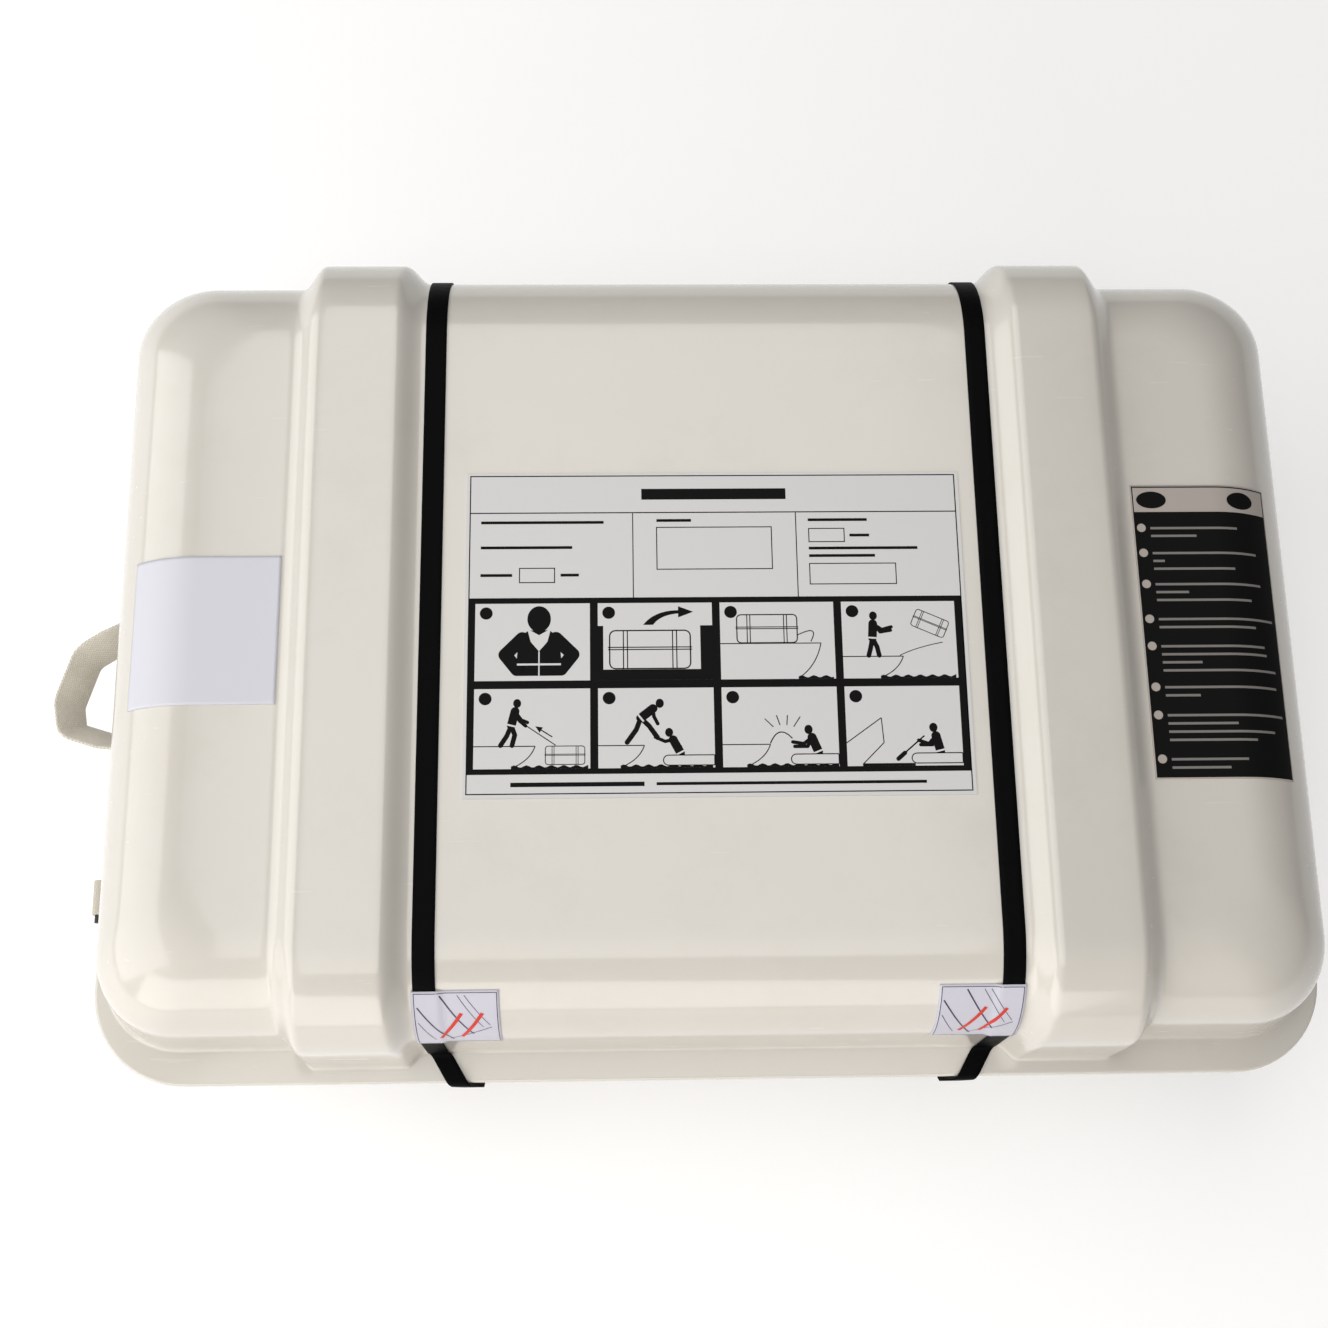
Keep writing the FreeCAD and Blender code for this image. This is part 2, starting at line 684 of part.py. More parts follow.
def rivet_places():
    """Where the rivets go through the webbing and the wall, and the turn that points them inward."""
    places = []
    middle = value("handle_y")
    for side in (-1, 1):
        for n in (0, 1):
            y = middle + side * (value("handle_half_span + rivet_first") + n * value("rivet_pitch"))
            places.append(end_wall(value("handle_z"), 0) + Vector(0, y, 0))
    return places, Rotation(Vector(0, 0, 1), end_wall(0, 0) - end_wall(0, 1))


def at_rivets(shape):
    places, inward = rivet_places()
    copies = []
    for spot in places:
        copy = shape.copy()
        copy.Placement = Placement(spot, inward)
        copies.append(copy)
    return Part.makeCompound(copies)


OUTSIDE = value("band_gap + handle_thick")
rivet_hole = Part.makeCylinder(value("rivet_radius + rivet_clearance"), 40, Vector(0, 0, -20))
rivet_holes = feature("rivet_holes", at_rivets(rivet_hole))
handle_blank = twisted_strip("handle_blank", handle_stations(), value("handle_wide"), value("handle_thick"))
carry_handle = cut("carry_handle", handle_blank, rivet_holes)

head_thick, head = value("rivet_head_thick"), value("rivet_head")
through = value("shell_wall + plate_thick + fit_gap")
rivet = Part.makeCylinder(value("rivet_radius"), OUTSIDE + through + 0.2, Vector(0, 0, -OUTSIDE - 0.1))
rivet = rivet.fuse(Part.makeCylinder(head, head_thick, Vector(0, 0, -OUTSIDE - 0.1 - head_thick)))
handle_rivets = feature("handle_rivets", at_rivets(rivet))


def backing_plate(side):
    """A flat plate inside the wall behind two rivets."""
    long = value("rivet_pitch") + 4 * value("rivet_head")
    wide, thick = 2 * value("rivet_head"), value("plate_thick")
    plate = Part.makeBox(wide, long, thick, Vector(-wide / 2, -long / 2, value("shell_wall") + 0.05))
    spots, inward = rivet_places()
    middle = (spots[1 + side] + spots[2 + side]) * 0.5
    plate.Placement = Placement(middle, inward)
    return plate.cut(at_rivets(rivet_hole))


backing_plates = pair("backing_plates", backing_plate)


# Outlet of the painter line at the left end

def outlet_block(grow, start, finish):
    """A block along X through the outlet, larger all round than its slot by grow."""
    wide, high = value("outlet_wide") + 2 * grow, value("outlet_high") + 2 * grow
    corner = Vector(start, value("outlet_y") - wide / 2, value("outlet_z") - high / 2)
    return Part.makeBox(finish - start, wide, high, corner)


outlet_wall_x = end_wall(value("outlet_z"), 0).x
outlet_cut = feature("outlet_cut", outlet_block(0.1, outlet_wall_x - 20, outlet_wall_x + 20))
lap_thick = value("outlet_lap_thick")
wall_through = value("shell_wall / cos(end_draft)")
wall_rise = value("outlet_high / 2 + outlet_lap") * math.tan(math.radians(value("end_draft")))
outer_face = outlet_wall_x - wall_rise - 0.2
inner_face = outlet_wall_x + wall_through + wall_rise + 0.2
grommet = outlet_block(0, outer_face - lap_thick, inner_face + lap_thick)
grommet = grommet.fuse(outlet_block(value("outlet_lap"), outer_face - lap_thick, outer_face))
grommet = grommet.fuse(outlet_block(value("outlet_lap"), inner_face, inner_face + lap_thick))
fold = value("toggle_radius + tail_gap + tail_thick / 2")
bore_high = 2 * fold + value("tail_thick + 2 * tail_gap")
bore_wide = value("tail_wide + 2 * tail_gap")
bore = Part.makeBox(80, bore_wide, bore_high, Vector(
    outlet_wall_x - 40, value("outlet_y") - bore_wide / 2, value("outlet_z") - bore_high / 2))
outlet_grommet = feature("outlet_grommet", grommet.cut(bore))

bag_right = value("pack_end_room - half_length - fit_gap")
bag_left = bag_right - value("bag_long")
toggle_x = outlet_wall_x - value("toggle_reach")
tail_end = bag_left - value("fit_gap")
tail_middle = Vector(toggle_x, value("outlet_y"), value("outlet_z"))
tail_path = [(Vector(tail_end, tail_middle.y, tail_middle.z + fold), UP)]
for n in range(9):
    bearing = math.radians(90 + 180 * n / 8)
    outward = Vector(math.cos(bearing), 0, math.sin(bearing))
    tail_path.append((tail_middle + outward * fold, outward))
tail_path.append((Vector(tail_end, tail_middle.y, tail_middle.z - fold), UP * -1))
painter_tail = strip("painter_tail", tail_path, value("tail_wide"), value("tail_thick"))
toggle_start = Vector(toggle_x, value("outlet_y + tail_wide / 2"), tail_middle.z)
tail_toggle = feature("tail_toggle", Part.makeCylinder(
    value("toggle_radius"), value("toggle_long"), toggle_start, Vector(0, -1, 0)))


# Drain plugs, and the finished lower shell with its holes

def plug(x, y):
    floor = value("rib_proud")
    thick, wall = value("plug_head_thick"), value("shell_wall")
    shape = Part.makeCylinder(value("plug_radius"), wall + 0.2, Vector(x, y, floor - 0.1))
    shape = shape.fuse(Part.makeCylinder(value("plug_head"), thick, Vector(x, y, floor - 0.1 - thick)))
    return shape


PLUG_SPOTS = [(side * value("plug_x"), side * value("plug_y")) for side in (-1, 1)]
drain_plugs = feature("drain_plugs", Part.makeCompound([plug(x, y) for x, y in PLUG_SPOTS]))
plug_holes = feature("plug_holes", Part.makeCompound([
    Part.makeCylinder(value("plug_radius") + 0.1, 30, Vector(x, y, 0)) for x, y in PLUG_SPOTS]))
lower_shell = cut("lower_shell", lower_blank, fuse("lower_holes", rivet_holes, outlet_cut, plug_holes))


# What is packed inside

FLOOR = "rib_proud + shell_wall"
END_FLOOR = "rib_proud + shell_wall + end_fall"
PACK_Z = FLOOR + " + pad_thick + 2 * fit_gap"
CEILING = CREASE + " + upper_rise - shell_wall"
CYLINDER_X = "half_length - cylinder_room"
PACK_LEFT = "(pack_end_room - half_length)"
PACK_RIGHT = CYLINDER_X + " - cylinder_radius - fit_gap"
PACK_HALF_WIDE = "(half_width - pack_side_room)"
PAD_HALF_WIDE = "(half_width - pad_side_room)"
PAD_HALF_LONG = "(half_length - pad_end_room)"


def soft_block(name, edge, *sizes):
    """A packed block whose edges are all cut back."""
    return chamfer(name, box(name + "_block", *sizes), edge)


floor_pad = box("floor_pad", "-" + PAD_HALF_LONG, "-" + PAD_HALF_WIDE, FLOOR + " + fit_gap",
                "2 * " + PAD_HALF_LONG, "2 * " + PAD_HALF_WIDE, "pad_thick")
top_pad = box("top_pad", "-" + PAD_HALF_LONG, "-" + PAD_HALF_WIDE, CEILING + " - fit_gap - pad_thick",
              "2 * " + PAD_HALF_LONG, "2 * " + PAD_HALF_WIDE, "pad_thick")
raft_pack = soft_block("raft_pack", "pack_round", PACK_LEFT, "-" + PACK_HALF_WIDE, PACK_Z,
                       PACK_RIGHT + " - " + PACK_LEFT, "2 * " + PACK_HALF_WIDE,
                       "(%s) - fit_gap - pad_thick - fit_gap - (%s)" % (CEILING, PACK_Z))
line_bag = soft_block("line_bag", "bag_round", PACK_LEFT + " - fit_gap - bag_long", "bag_y - bag_wide / 2",
                      "outlet_z - bag_high / 2", "bag_long", "bag_wide", "bag_high")

CYLINDER_Z = END_FLOOR + " + fit_gap + saddle_thick + cylinder_radius"
neck_end = value("cylinder_long / 2 + neck_long")
radius, half = value("cylinder_radius"), value("cylinder_long / 2")
bottle = Part.makeCylinder(radius, 2 * half - radius / 2, Vector(0, -half + radius / 2, 0), Vector(0, 1, 0))
neck = Part.makeCylinder(value("neck_radius"), neck_end, Vector(0, -neck_end, 0), Vector(0, 1, 0))
shoulder = Part.makeCone(radius, radius / 2, radius / 2, Vector(0, -half + radius / 2, 0), Vector(0, -1, 0))
gas_cylinder = feature("gas_cylinder", bottle.fuse([neck, shoulder]))
place(gas_cylinder, x=CYLINDER_X, z=CYLINDER_Z)


def saddle(side):
    base = value(END_FLOOR + " + fit_gap")
    x, y = value(CYLINDER_X), side * value("saddle_spacing") / 2
    long, wide = value("saddle_half_long"), value("saddle_wide")
    block = Part.makeBox(2 * long, wide, value("saddle_high"), Vector(x - long, y - wide / 2, base))
    seat = Part.makeCylinder(value("cylinder_radius + fit_gap"), 2 * wide,
                             Vector(x, y - wide, value(CYLINDER_Z)), Vector(0, 1, 0))
    return block.cut(seat)


cylinder_saddles = pair("cylinder_saddles", saddle)
valve_y = -neck_end - value("valve_long / 2")
axis_z = value(CYLINDER_Z)
valve_half = value("valve_half")
valve = Part.makeBox(2 * valve_half, value("valve_long"), 2 * valve_half, Vector(
    value(CYLINDER_X) - valve_half, -neck_end - value("valve_long"), axis_z - valve_half))
valve = valve.fuse(Part.makeCylinder(value("boss_radius"), value("boss_reach"),
                                     Vector(value(CYLINDER_X), valve_y, axis_z), Vector(-1, 0, 0)))
firing_head = feature("firing_head", valve.removeSplitter())
hose_start = value(CYLINDER_X + " - boss_reach")
inflation_hose = feature("inflation_hose", Part.makeCylinder(
    value("hose_radius"), hose_start - value(PACK_RIGHT + " + fit_gap"),
    Vector(hose_start, valve_y, axis_z), Vector(-1, 0, 0)))
emergency_kit = soft_block("emergency_kit", "kit_round", PACK_RIGHT + " + fit_gap", "-kit_wide / 2",
                           CYLINDER_Z + " + cylinder_radius + fit_gap", "kit_long", "kit_wide", "kit_high")


# Checks on every object, then one file for each piece

PIECES = [
    upper_shell, lower_shell, rim_gasket, left_band, right_band, band_seals, instruction_label, left_end_label,
    right_end_label, left_band_label, right_band_label, carry_handle, handle_rivets, backing_plates,
    outlet_grommet, painter_tail, tail_toggle, drain_plugs, floor_pad, top_pad, raft_pack, line_bag,
    gas_cylinder, cylinder_saddles, firing_head, inflation_hose, emergency_kit,
]

doc.recompute()
for thing in doc.Objects:
    if "Invalid" in thing.State or "Error" in thing.State:
        raise RuntimeError("%s could not be built" % thing.Name)
for piece in PIECES:
    if piece.Shape.isNull() or not piece.Shape.isValid() or not piece.Shape.Solids:
        raise RuntimeError("%s has no sound solid" % piece.Label)

os.makedirs("parts", exist_ok=True)
for piece in PIECES:
    piece.Shape.exportStep("parts/%s.step" % piece.Label)
    print("%-20s %d solid(s) %12.0f mm3" % (piece.Label, len(piece.Shape.Solids), piece.Shape.Volume))
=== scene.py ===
import math

import bmesh
import bpy
from mathutils import Matrix, Vector


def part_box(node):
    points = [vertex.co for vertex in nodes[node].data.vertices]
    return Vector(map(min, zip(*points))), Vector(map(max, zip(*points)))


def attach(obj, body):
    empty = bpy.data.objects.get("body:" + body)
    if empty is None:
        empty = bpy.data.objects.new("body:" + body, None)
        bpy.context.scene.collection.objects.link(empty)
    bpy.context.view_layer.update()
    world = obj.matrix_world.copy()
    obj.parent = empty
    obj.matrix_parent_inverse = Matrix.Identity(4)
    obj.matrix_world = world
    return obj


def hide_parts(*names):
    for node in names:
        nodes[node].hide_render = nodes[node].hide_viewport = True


# A hard liferaft container lying flat, seen from above its near side. Metres, in the part's own frame.

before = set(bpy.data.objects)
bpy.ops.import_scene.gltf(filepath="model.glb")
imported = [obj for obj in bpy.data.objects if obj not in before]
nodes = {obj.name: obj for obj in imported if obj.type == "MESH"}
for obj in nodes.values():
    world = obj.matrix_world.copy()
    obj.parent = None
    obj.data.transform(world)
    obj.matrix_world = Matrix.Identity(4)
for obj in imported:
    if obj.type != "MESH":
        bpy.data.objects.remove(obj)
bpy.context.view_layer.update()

MM = 0.001


def lerp(a, b, share):
    """What lies a share of the way from a to b."""
    return a + (b - a) * share


def clamp(share):
    """A share held between 0 and 1."""
    return max(0.0, min(1.0, share))


# Sizes of the shells, the same as in the part's source

HALF_LENGTH = 375 * MM
HALF_WIDTH = 246.5 * MM
END_INSET = 3 * MM
END_FALL = 2 * MM
SIDE_DRAFT = math.radians(4.5)
END_DRAFT = math.radians(9.3)
EDGE_RADIUS = 58 * MM
CORNER_RADIUS = 48 * MM
CORNER_FALL = 16 * MM
RIB_CENTRE = 216.5 * MM
RIB_PROUD = 9 * MM
RIB_FLAT_HALF = 22.5 * MM
RIB_FLARE = 5 * MM
FLANK_INNER = 18 * MM
FLANK_OUTER = 19 * MM
RIM_CORNER = 58 * MM
RIM_THICK = 4 * MM
LIP_WALL = 3 * MM
LIP_GAP = 0.5 * MM

# Small roundings where the part's source has a bevel or a sharp edge

FOOT_ROUND = 2.2 * MM
RIM_ROUND = 2.2 * MM
LIP_ROUND = 0.6 * MM
LIP_TAPER = 0.5 * MM

# How finely the shells are drawn

FLANK_STEPS = 14
MIDDLE_STEPS = 40
PAST_RIBS = 7
CORNER_STEPS = 16
END_STEPS = 28
FOOT_STEPS = 4
WALL_STEPS = 10
EDGE_STEPS = 18

# Levels that the frame gives

RIM_HALF_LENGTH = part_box("upper_shell")[1].x
RIM_HALF_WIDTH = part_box("upper_shell")[1].y
LIP_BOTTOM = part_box("upper_shell")[0].z
TOP_OF_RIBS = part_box("upper_shell")[1].z
LOWER_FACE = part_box("rim_gasket")[0].z - RIM_THICK
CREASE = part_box("rim_gasket")[1].z + RIM_THICK
UPPER_RISE = TOP_OF_RIBS - RIB_PROUD - CREASE
LOWER_RISE = LOWER_FACE - RIB_PROUD
TOP = CREASE + UPPER_RISE
SIDE_ARC = HALF_WIDTH - EDGE_RADIUS * math.cos(SIDE_DRAFT) - math.tan(SIDE_DRAFT) * (
    UPPER_RISE - EDGE_RADIUS * (1 - math.sin(SIDE_DRAFT)))
LOWER_SIDE_ARC = SIDE_ARC - math.tan(SIDE_DRAFT) * (LOWER_RISE - UPPER_RISE)
END_ARC = HALF_LENGTH - EDGE_RADIUS * math.cos(END_DRAFT) - math.tan(END_DRAFT) * (
    UPPER_RISE - END_FALL - EDGE_RADIUS * (1 - math.sin(END_DRAFT)))


# Outside of a moulded half: rings from the crease up to the edge of the flat crown

def rib_lift(x, foot, spread):
    """How far the outside stands out at x over the middle; foot is how far it falls beyond the ribs."""
    beyond = abs(x) > RIB_CENTRE
    base = -foot if beyond else 0.0
    flank = (FLANK_OUTER if beyond else FLANK_INNER) - spread
    share = clamp((abs(abs(x) - RIB_CENTRE) - RIB_FLAT_HALF - spread) / flank)
    return base + (RIB_PROUD - base) * (1 + math.cos(math.pi * share)) / 2


def section(level, draft, rise):
    """(height, way in) of a level on a drafted wall: 0 to 1 is the wall, 1 to 2 its round top edge."""
    straight = rise - EDGE_RADIUS * (1 - math.sin(draft))
    if level <= 1:
        height = lerp(FOOT_ROUND, straight, level)
        return height, height * math.tan(draft)
    angle = lerp(draft, math.pi / 2, level - 1)
    height = rise - EDGE_RADIUS * (1 - math.sin(angle))
    return height, straight * math.tan(draft) + EDGE_RADIUS * (math.cos(draft) - math.cos(angle))


def side_stations():
    """Places along the side from one rib's outer foot to the other's, dense on the ribs' flanks."""
    places = []
    flanks = ((-RIB_FLAT_HALF - FLANK_OUTER, FLANK_OUTER),
              (RIB_FLAT_HALF - RIB_FLARE, FLANK_INNER + RIB_FLARE))
    for start, flank in flanks:
        places += [-RIB_CENTRE + start + flank * n / FLANK_STEPS for n in range(FLANK_STEPS + 1)]
    places.append(-RIB_CENTRE)
    places += [-RIB_CENTRE + RIB_FLAT_HALF * n / 3 for n in (-2, -1, 1, 2)]
    inner = RIB_CENTRE - RIB_FLAT_HALF - FLANK_INNER
    left = sorted(set(round(x, 6) for x in places))
    middle = [-inner + 2 * inner * n / MIDDLE_STEPS for n in range(1, MIDDLE_STEPS)]
    return left + middle + [-x for x in reversed(left)]


STATIONS = side_stations()


def half_ring(outline):
    """Points of a ring's +Y half from the left end to the right end.

    An outline is its half length, half width and corner radius, and a function that finishes each point.
    """
    half_x, half_y, radius, side = outline
    points = []
    for n in range(CORNER_STEPS):
        angle = math.pi - math.pi / 2 * n / CORNER_STEPS
        x, y = -half_x + radius + radius * math.cos(angle), half_y - radius + radius * math.sin(angle)
        points.append(side(x, y, 1 - n / CORNER_STEPS))
    start = -half_x + radius
    run = [lerp(start, STATIONS[0], n / PAST_RIBS) for n in range(PAST_RIBS)]
    run += STATIONS + [-x for x in reversed(run)]
    points += [side(x, half_y, 0.0) for x in run]
    for n in range(1, CORNER_STEPS + 1):
        angle = math.pi / 2 - math.pi / 2 * n / CORNER_STEPS
        x, y = half_x - radius + radius * math.cos(angle), half_y - radius + radius * math.sin(angle)
        points.append(side(x, y, n / CORNER_STEPS))
    return points


def full_ring(outline):
    """The whole ring: the +Y half, the right end, the -Y half and the left end."""
    near = half_ring(outline)
    last, first = near[-1], near[0]
    right = [Vector((last.x, lerp(last.y, -last.y, n / END_STEPS), last.z)) for n in range(1, END_STEPS)]
    left = [Vector((first.x, lerp(-first.y, first.y, n / END_STEPS), first.z)) for n in range(1, END_STEPS)]
    return near + right + [Vector((p.x, -p.y, p.z)) for p in reversed(near)] + left


def wall_outline(level, rise, foot_out=0.0, foot_height=None):
    """The outline of a level of the moulded wall, with the ribs on its long sides."""
    end_height, end_in = section(level, END_DRAFT, rise - END_FALL)
    side_in = section(level, SIDE_DRAFT, rise - END_FALL)[1]
    fall = CORNER_FALL * (1 - math.cos(max(level - 1, 0) * math.pi / 2))
    spread = RIB_FLARE * (1 - clamp(level - 0.7))
    half_x = HALF_LENGTH - end_in + foot_out
    half_y = HALF_WIDTH - END_INSET - side_in + foot_out

    def side(x, y, corner):
        height, inward = section(level, lerp(SIDE_DRAFT, END_DRAFT, corner), rise - END_FALL)
        if corner == 0:
            proud = rib_lift(x, END_FALL, spread)
            height, inward = section(level, SIDE_DRAFT, rise + proud)
            y = HALF_WIDTH + rib_lift(x, END_INSET, spread) - inward + foot_out
        return Vector((x, y, height if foot_height is None else foot_height))

    return half_x, half_y, CORNER_RADIUS - fall + foot_out, side


def flat_outline(half_x, half_y, radius, height):
    """A level outline with no ribs, such as the rim's edge."""
    return half_x, half_y, radius, lambda x, y, corner: Vector((x, y, height))


def rim_outlines(lip):
    """Outlines of the rim from the inside of its mouth outward, over its edge and back to the crease."""
    grow = 0.0 if lip else -LIP_WALL - LIP_GAP
    half_x, half_y, corner = RIM_HALF_LENGTH + grow, RIM_HALF_WIDTH + grow, RIM_CORNER + grow
    rings = [(HALF_LENGTH - half_x - LIP_WALL, -RIM_THICK)]
    if lip:
        drop = CREASE - LIP_BOTTOM
        rings += [(-LIP_WALL, -RIM_THICK), (-LIP_WALL, -drop + LIP_ROUND), (-LIP_WALL + LIP_TAPER, -drop)]
        rings += [(-LIP_ROUND, -drop), (0.0, -drop + LIP_ROUND)]
    else:
        rings += [(-LIP_ROUND, -RIM_THICK), (0.0, -RIM_THICK + LIP_ROUND)]
    rings += [(RIM_ROUND * (math.cos(angle) - 1), RIM_ROUND * (math.sin(angle) - 1))
              for angle in (math.radians(90) * n / 6 for n in range(7))]
    return [flat_outline(half_x + out, half_y + out, corner + out, height) for out, height in rings]


def ring_faces(rows, count):
    """Faces between rings of points, one ring after the other."""
    faces = []
    for row in range(rows):
        here, above = row * count, (row + 1) * count
        for n in range(count):
            after = (n + 1) % count
            faces.append((here + n, here + after, above + after, above + n))
    return faces


def moulded_half(name, rise, lip, turned, base):
    """The whole outside of one half as one mesh, standing on its base level, or hanging from it if turned."""
    outlines = rim_outlines(lip)
    for step in range(FOOT_STEPS):
        angle = math.radians(90) * step / FOOT_STEPS
        foot_out, foot_height = FOOT_ROUND * (1 - math.sin(angle)), FOOT_ROUND * (1 - math.cos(angle))
        outlines.append(wall_outline(0, rise, foot_out, foot_height))
    outlines += [wall_outline(n / WALL_STEPS, rise) for n in range(WALL_STEPS + 1)]
    outlines += [wall_outline(1 + n / EDGE_STEPS, rise) for n in range(1, EDGE_STEPS + 1)]
    rings = [full_ring(outline) for outline in outlines]
    count = len(rings[0])
    vertices = [point for ring in rings for point in ring]
    faces = ring_faces(len(rings) - 1, count)
    top = (len(rings) - 1) * count
    columns = (count - 2 * (END_STEPS - 1)) // 2
    grid = []
    for column in range(columns):
        far, near = top + column, top + 2 * columns + END_STEPS - 2 - column
        if column == 0:
            between = [top + count - n for n in range(1, END_STEPS)]
        elif column == columns - 1:
            between = [top + columns + n - 1 for n in range(1, END_STEPS)]
        else:
            between = []
            for n in range(1, END_STEPS):
                between.append(len(vertices))
                vertices.append(vertices[far].lerp(vertices[near], n / END_STEPS))
        grid.append([far] + between + [near])
    for here, after in zip(grid, grid[1:]):
        for n in range(END_STEPS):
            faces.append((here[n], after[n], after[n + 1], here[n + 1]))
    flip = -1 if turned else 1
    mesh = bpy.data.meshes.new(name)
    mesh.from_pydata([Vector((p.x, p.y, base + p.z * flip)) for p in vertices], [], faces)
    mesh.shade_smooth()
    thing = bpy.data.objects.new(name, mesh)
    bpy.context.scene.collection.objects.link(thing)
    face_outward(thing)
    return thing


def face_outward(thing):
    """Turns the faces of a closed mesh outward."""
    work = bmesh.new()
    work.from_mesh(thing.data)
    bmesh.ops.recalc_face_normals(work, faces=work.faces)
    work.to_mesh(thing.data)
    work.free()


def add_piece(name, vertices, faces, materials, smooth=True, ink=None):
    """A mesh that rides on the one body of the object."""
    mesh = bpy.data.meshes.new(name)
    mesh.from_pydata(vertices, [], faces)
    if smooth:
        mesh.shade_smooth()
    for material in materials:
        mesh.materials.append(material)
    if ink:
        mesh.polygons.foreach_set("material_index", ink)
    thing = bpy.data.objects.new(name, mesh)
    bpy.context.scene.collection.objects.link(thing)
    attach(thing, "root")
    return thing


# Effects that more than one material uses, as groups that put out masks, colours and normals

def group(name, inputs, outputs):
    """An empty node group with its sockets, its input node and its output node."""
    tree = bpy.data.node_groups.new(name, "ShaderNodeTree")
    for label, kind, default in inputs:
        socket = tree.interface.new_socket(label, in_out="INPUT", socket_type="NodeSocket" + kind)
        if default is not None:
            socket.default_value = default
    for label, kind in outputs:
        tree.interface.new_socket(label, in_out="OUTPUT", socket_type="NodeSocket" + kind)
    return tree, tree.nodes.new("NodeGroupInput"), tree.nodes.new("NodeGroupOutput")


def add_node(tree, kind, values=None, **settings):
    """A node with its settings and the values of its sockets; a value that is a socket is linked."""
    made = tree.nodes.new("ShaderNode" + kind)
    for key, setting in settings.items():
        setattr(made, key, setting)
    for key, value in (values or {}).items():
        if isinstance(value, bpy.types.NodeSocket):
            tree.links.new(value, made.inputs[key])
        else:
            made.inputs[key].default_value = value
    return made


def ramp(tree, source, stops):
    """A grey ramp over a value, from its (place, shade) stops."""
    made = add_node(tree, "ValToRGB", {"Fac": source})
    elements = made.color_ramp.elements
    while len(elements) < len(stops):
        elements.new(0.5)
    for element, (place, shade) in zip(elements, stops):
        element.position = place
        element.color = (shade, shade, shade, 1)
    return made.outputs["Color"]


def mix_colour(tree, factor, first, second, kind="MIX"):
    """Two colours mixed by a factor; each may be a value or a socket."""
    made = add_node(tree, "Mix", data_type="RGBA", blend_type=kind)
    for key, value in ((0, factor), (6, first), (7, second)):
        if isinstance(value, bpy.types.NodeSocket):
            tree.links.new(value, made.inputs[key])
        else:
            made.inputs[key].default_value = value
    return made.outputs[2]


def object_place(tree):
    """A point's place in the part's frame."""
    return tree.nodes.new("ShaderNodeTexCoord").outputs["Object"]


def make_skin_group():
    """Long soft waves, orange peel, grime, tone and fine scratches of a moulded glossy skin."""
    inputs = (("Place", "Vector", None), ("Wave", "Float", 0.4), ("Peel", "Float", 0.1))
    outputs = (("Normal", "Vector"), ("Dirt", "Color"), ("Scratch", "Color"), ("Tone", "Color"))
    tree, given, result = group("moulded_skin", inputs, outputs)
    place = given.outputs["Place"]
    wave = add_node(tree, "TexNoise", {"Vector": place, "Scale": 9.0, "Detail": 2.0, "Roughness": 0.4})
    peel = add_node(tree, "TexNoise", {"Vector": place, "Scale": 320.0, "Detail": 2.0, "Roughness": 0.5})
    first = add_node(tree, "Bump", {"Strength": given.outputs["Wave"], "Distance": 0.004,
                                    "Height": wave.outputs["Fac"]})
    second = add_node(tree, "Bump", {"Strength": given.outputs["Peel"], "Distance": 0.0004,
                                     "Height": peel.outputs["Fac"], "Normal": first.outputs["Normal"]})
    dirt = add_node(tree, "TexNoise", {"Vector": place, "Scale": 14.0, "Detail": 8.0, "Roughness": 0.7})
    stretched = add_node(tree, "Mapping", {"Vector": place, "Scale": (18.0, 240.0, 240.0),
                                           "Rotation": (0.2, 0.3, 0.7)})
    scratch = add_node(tree, "TexNoise", {"Vector": stretched.outputs["Vector"], "Scale": 1.0, "Detail": 3.0})
    tone = add_node(tree, "TexNoise", {"Vector": place, "Scale": 3.2, "Detail": 3.0, "Roughness": 0.5})
    for label, value in (("Normal", second.outputs["Normal"]),
                         ("Dirt", ramp(tree, dirt.outputs["Fac"], ((0.50, 0.0), (0.72, 1.0)))),
                         ("Scratch", ramp(tree, scratch.outputs["Fac"], ((0.66, 0.0), (0.74, 1.0)))),
                         ("Tone", tone.outputs["Fac"])):
        tree.links.new(value, result.inputs[label])
    return tree


def make_weave_group():
    """A woven cloth's crossing threads as a height, and painted shade that darkens the low places between
    them.
    """
    inputs = (("Place", "Vector", None), ("Across", "Float", 900.0), ("Along", "Float", 500.0),
              ("Depth", "Float", 0.5))
    tree, given, result = group("woven_threads", inputs, (("Normal", "Vector"), ("Gap_Shade", "Color")))
    split = add_node(tree, "SeparateXYZ", {"Vector": given.outputs["Place"]})
    waves = []
    for axis, scale in (("X", "Across"), ("Y", "Along")):
        phase = add_node(tree, "Math", {0: split.outputs[axis], 1: given.outputs[scale]}, operation="MULTIPLY")
        wave = add_node(tree, "Math", {0: phase.outputs[0]}, operation="SINE")
        waves.append(wave.outputs[0])
    crossing = add_node(tree, "Math", {0: waves[0], 1: waves[1]}, operation="MULTIPLY")
    height = add_node(tree, "Math", {0: crossing.outputs[0], 1: 0.5, 2: 0.5}, operation="MULTIPLY_ADD")
    bump = add_node(tree, "Bump", {"Strength": given.outputs["Depth"], "Distance": 0.0006,
                                   "Height": height.outputs[0]})
    tree.links.new(bump.outputs["Normal"], result.inputs["Normal"])
    # Painted shade: the colour falls to 0.72 where the threads dip between crossings.
    tree.links.new(ramp(tree, height.outputs[0], ((0.0, 0.72), (1.0, 1.0))), result.inputs["Gap_Shade"])
    return tree


SKIN = make_skin_group()
WEAVE = make_weave_group()


def new_material(name):
    """A new material with its tree and its shader."""
    material = bpy.data.materials.new(name)
    material.use_nodes = True
    return material, material.node_tree, material.node_tree.nodes["Principled BSDF"]


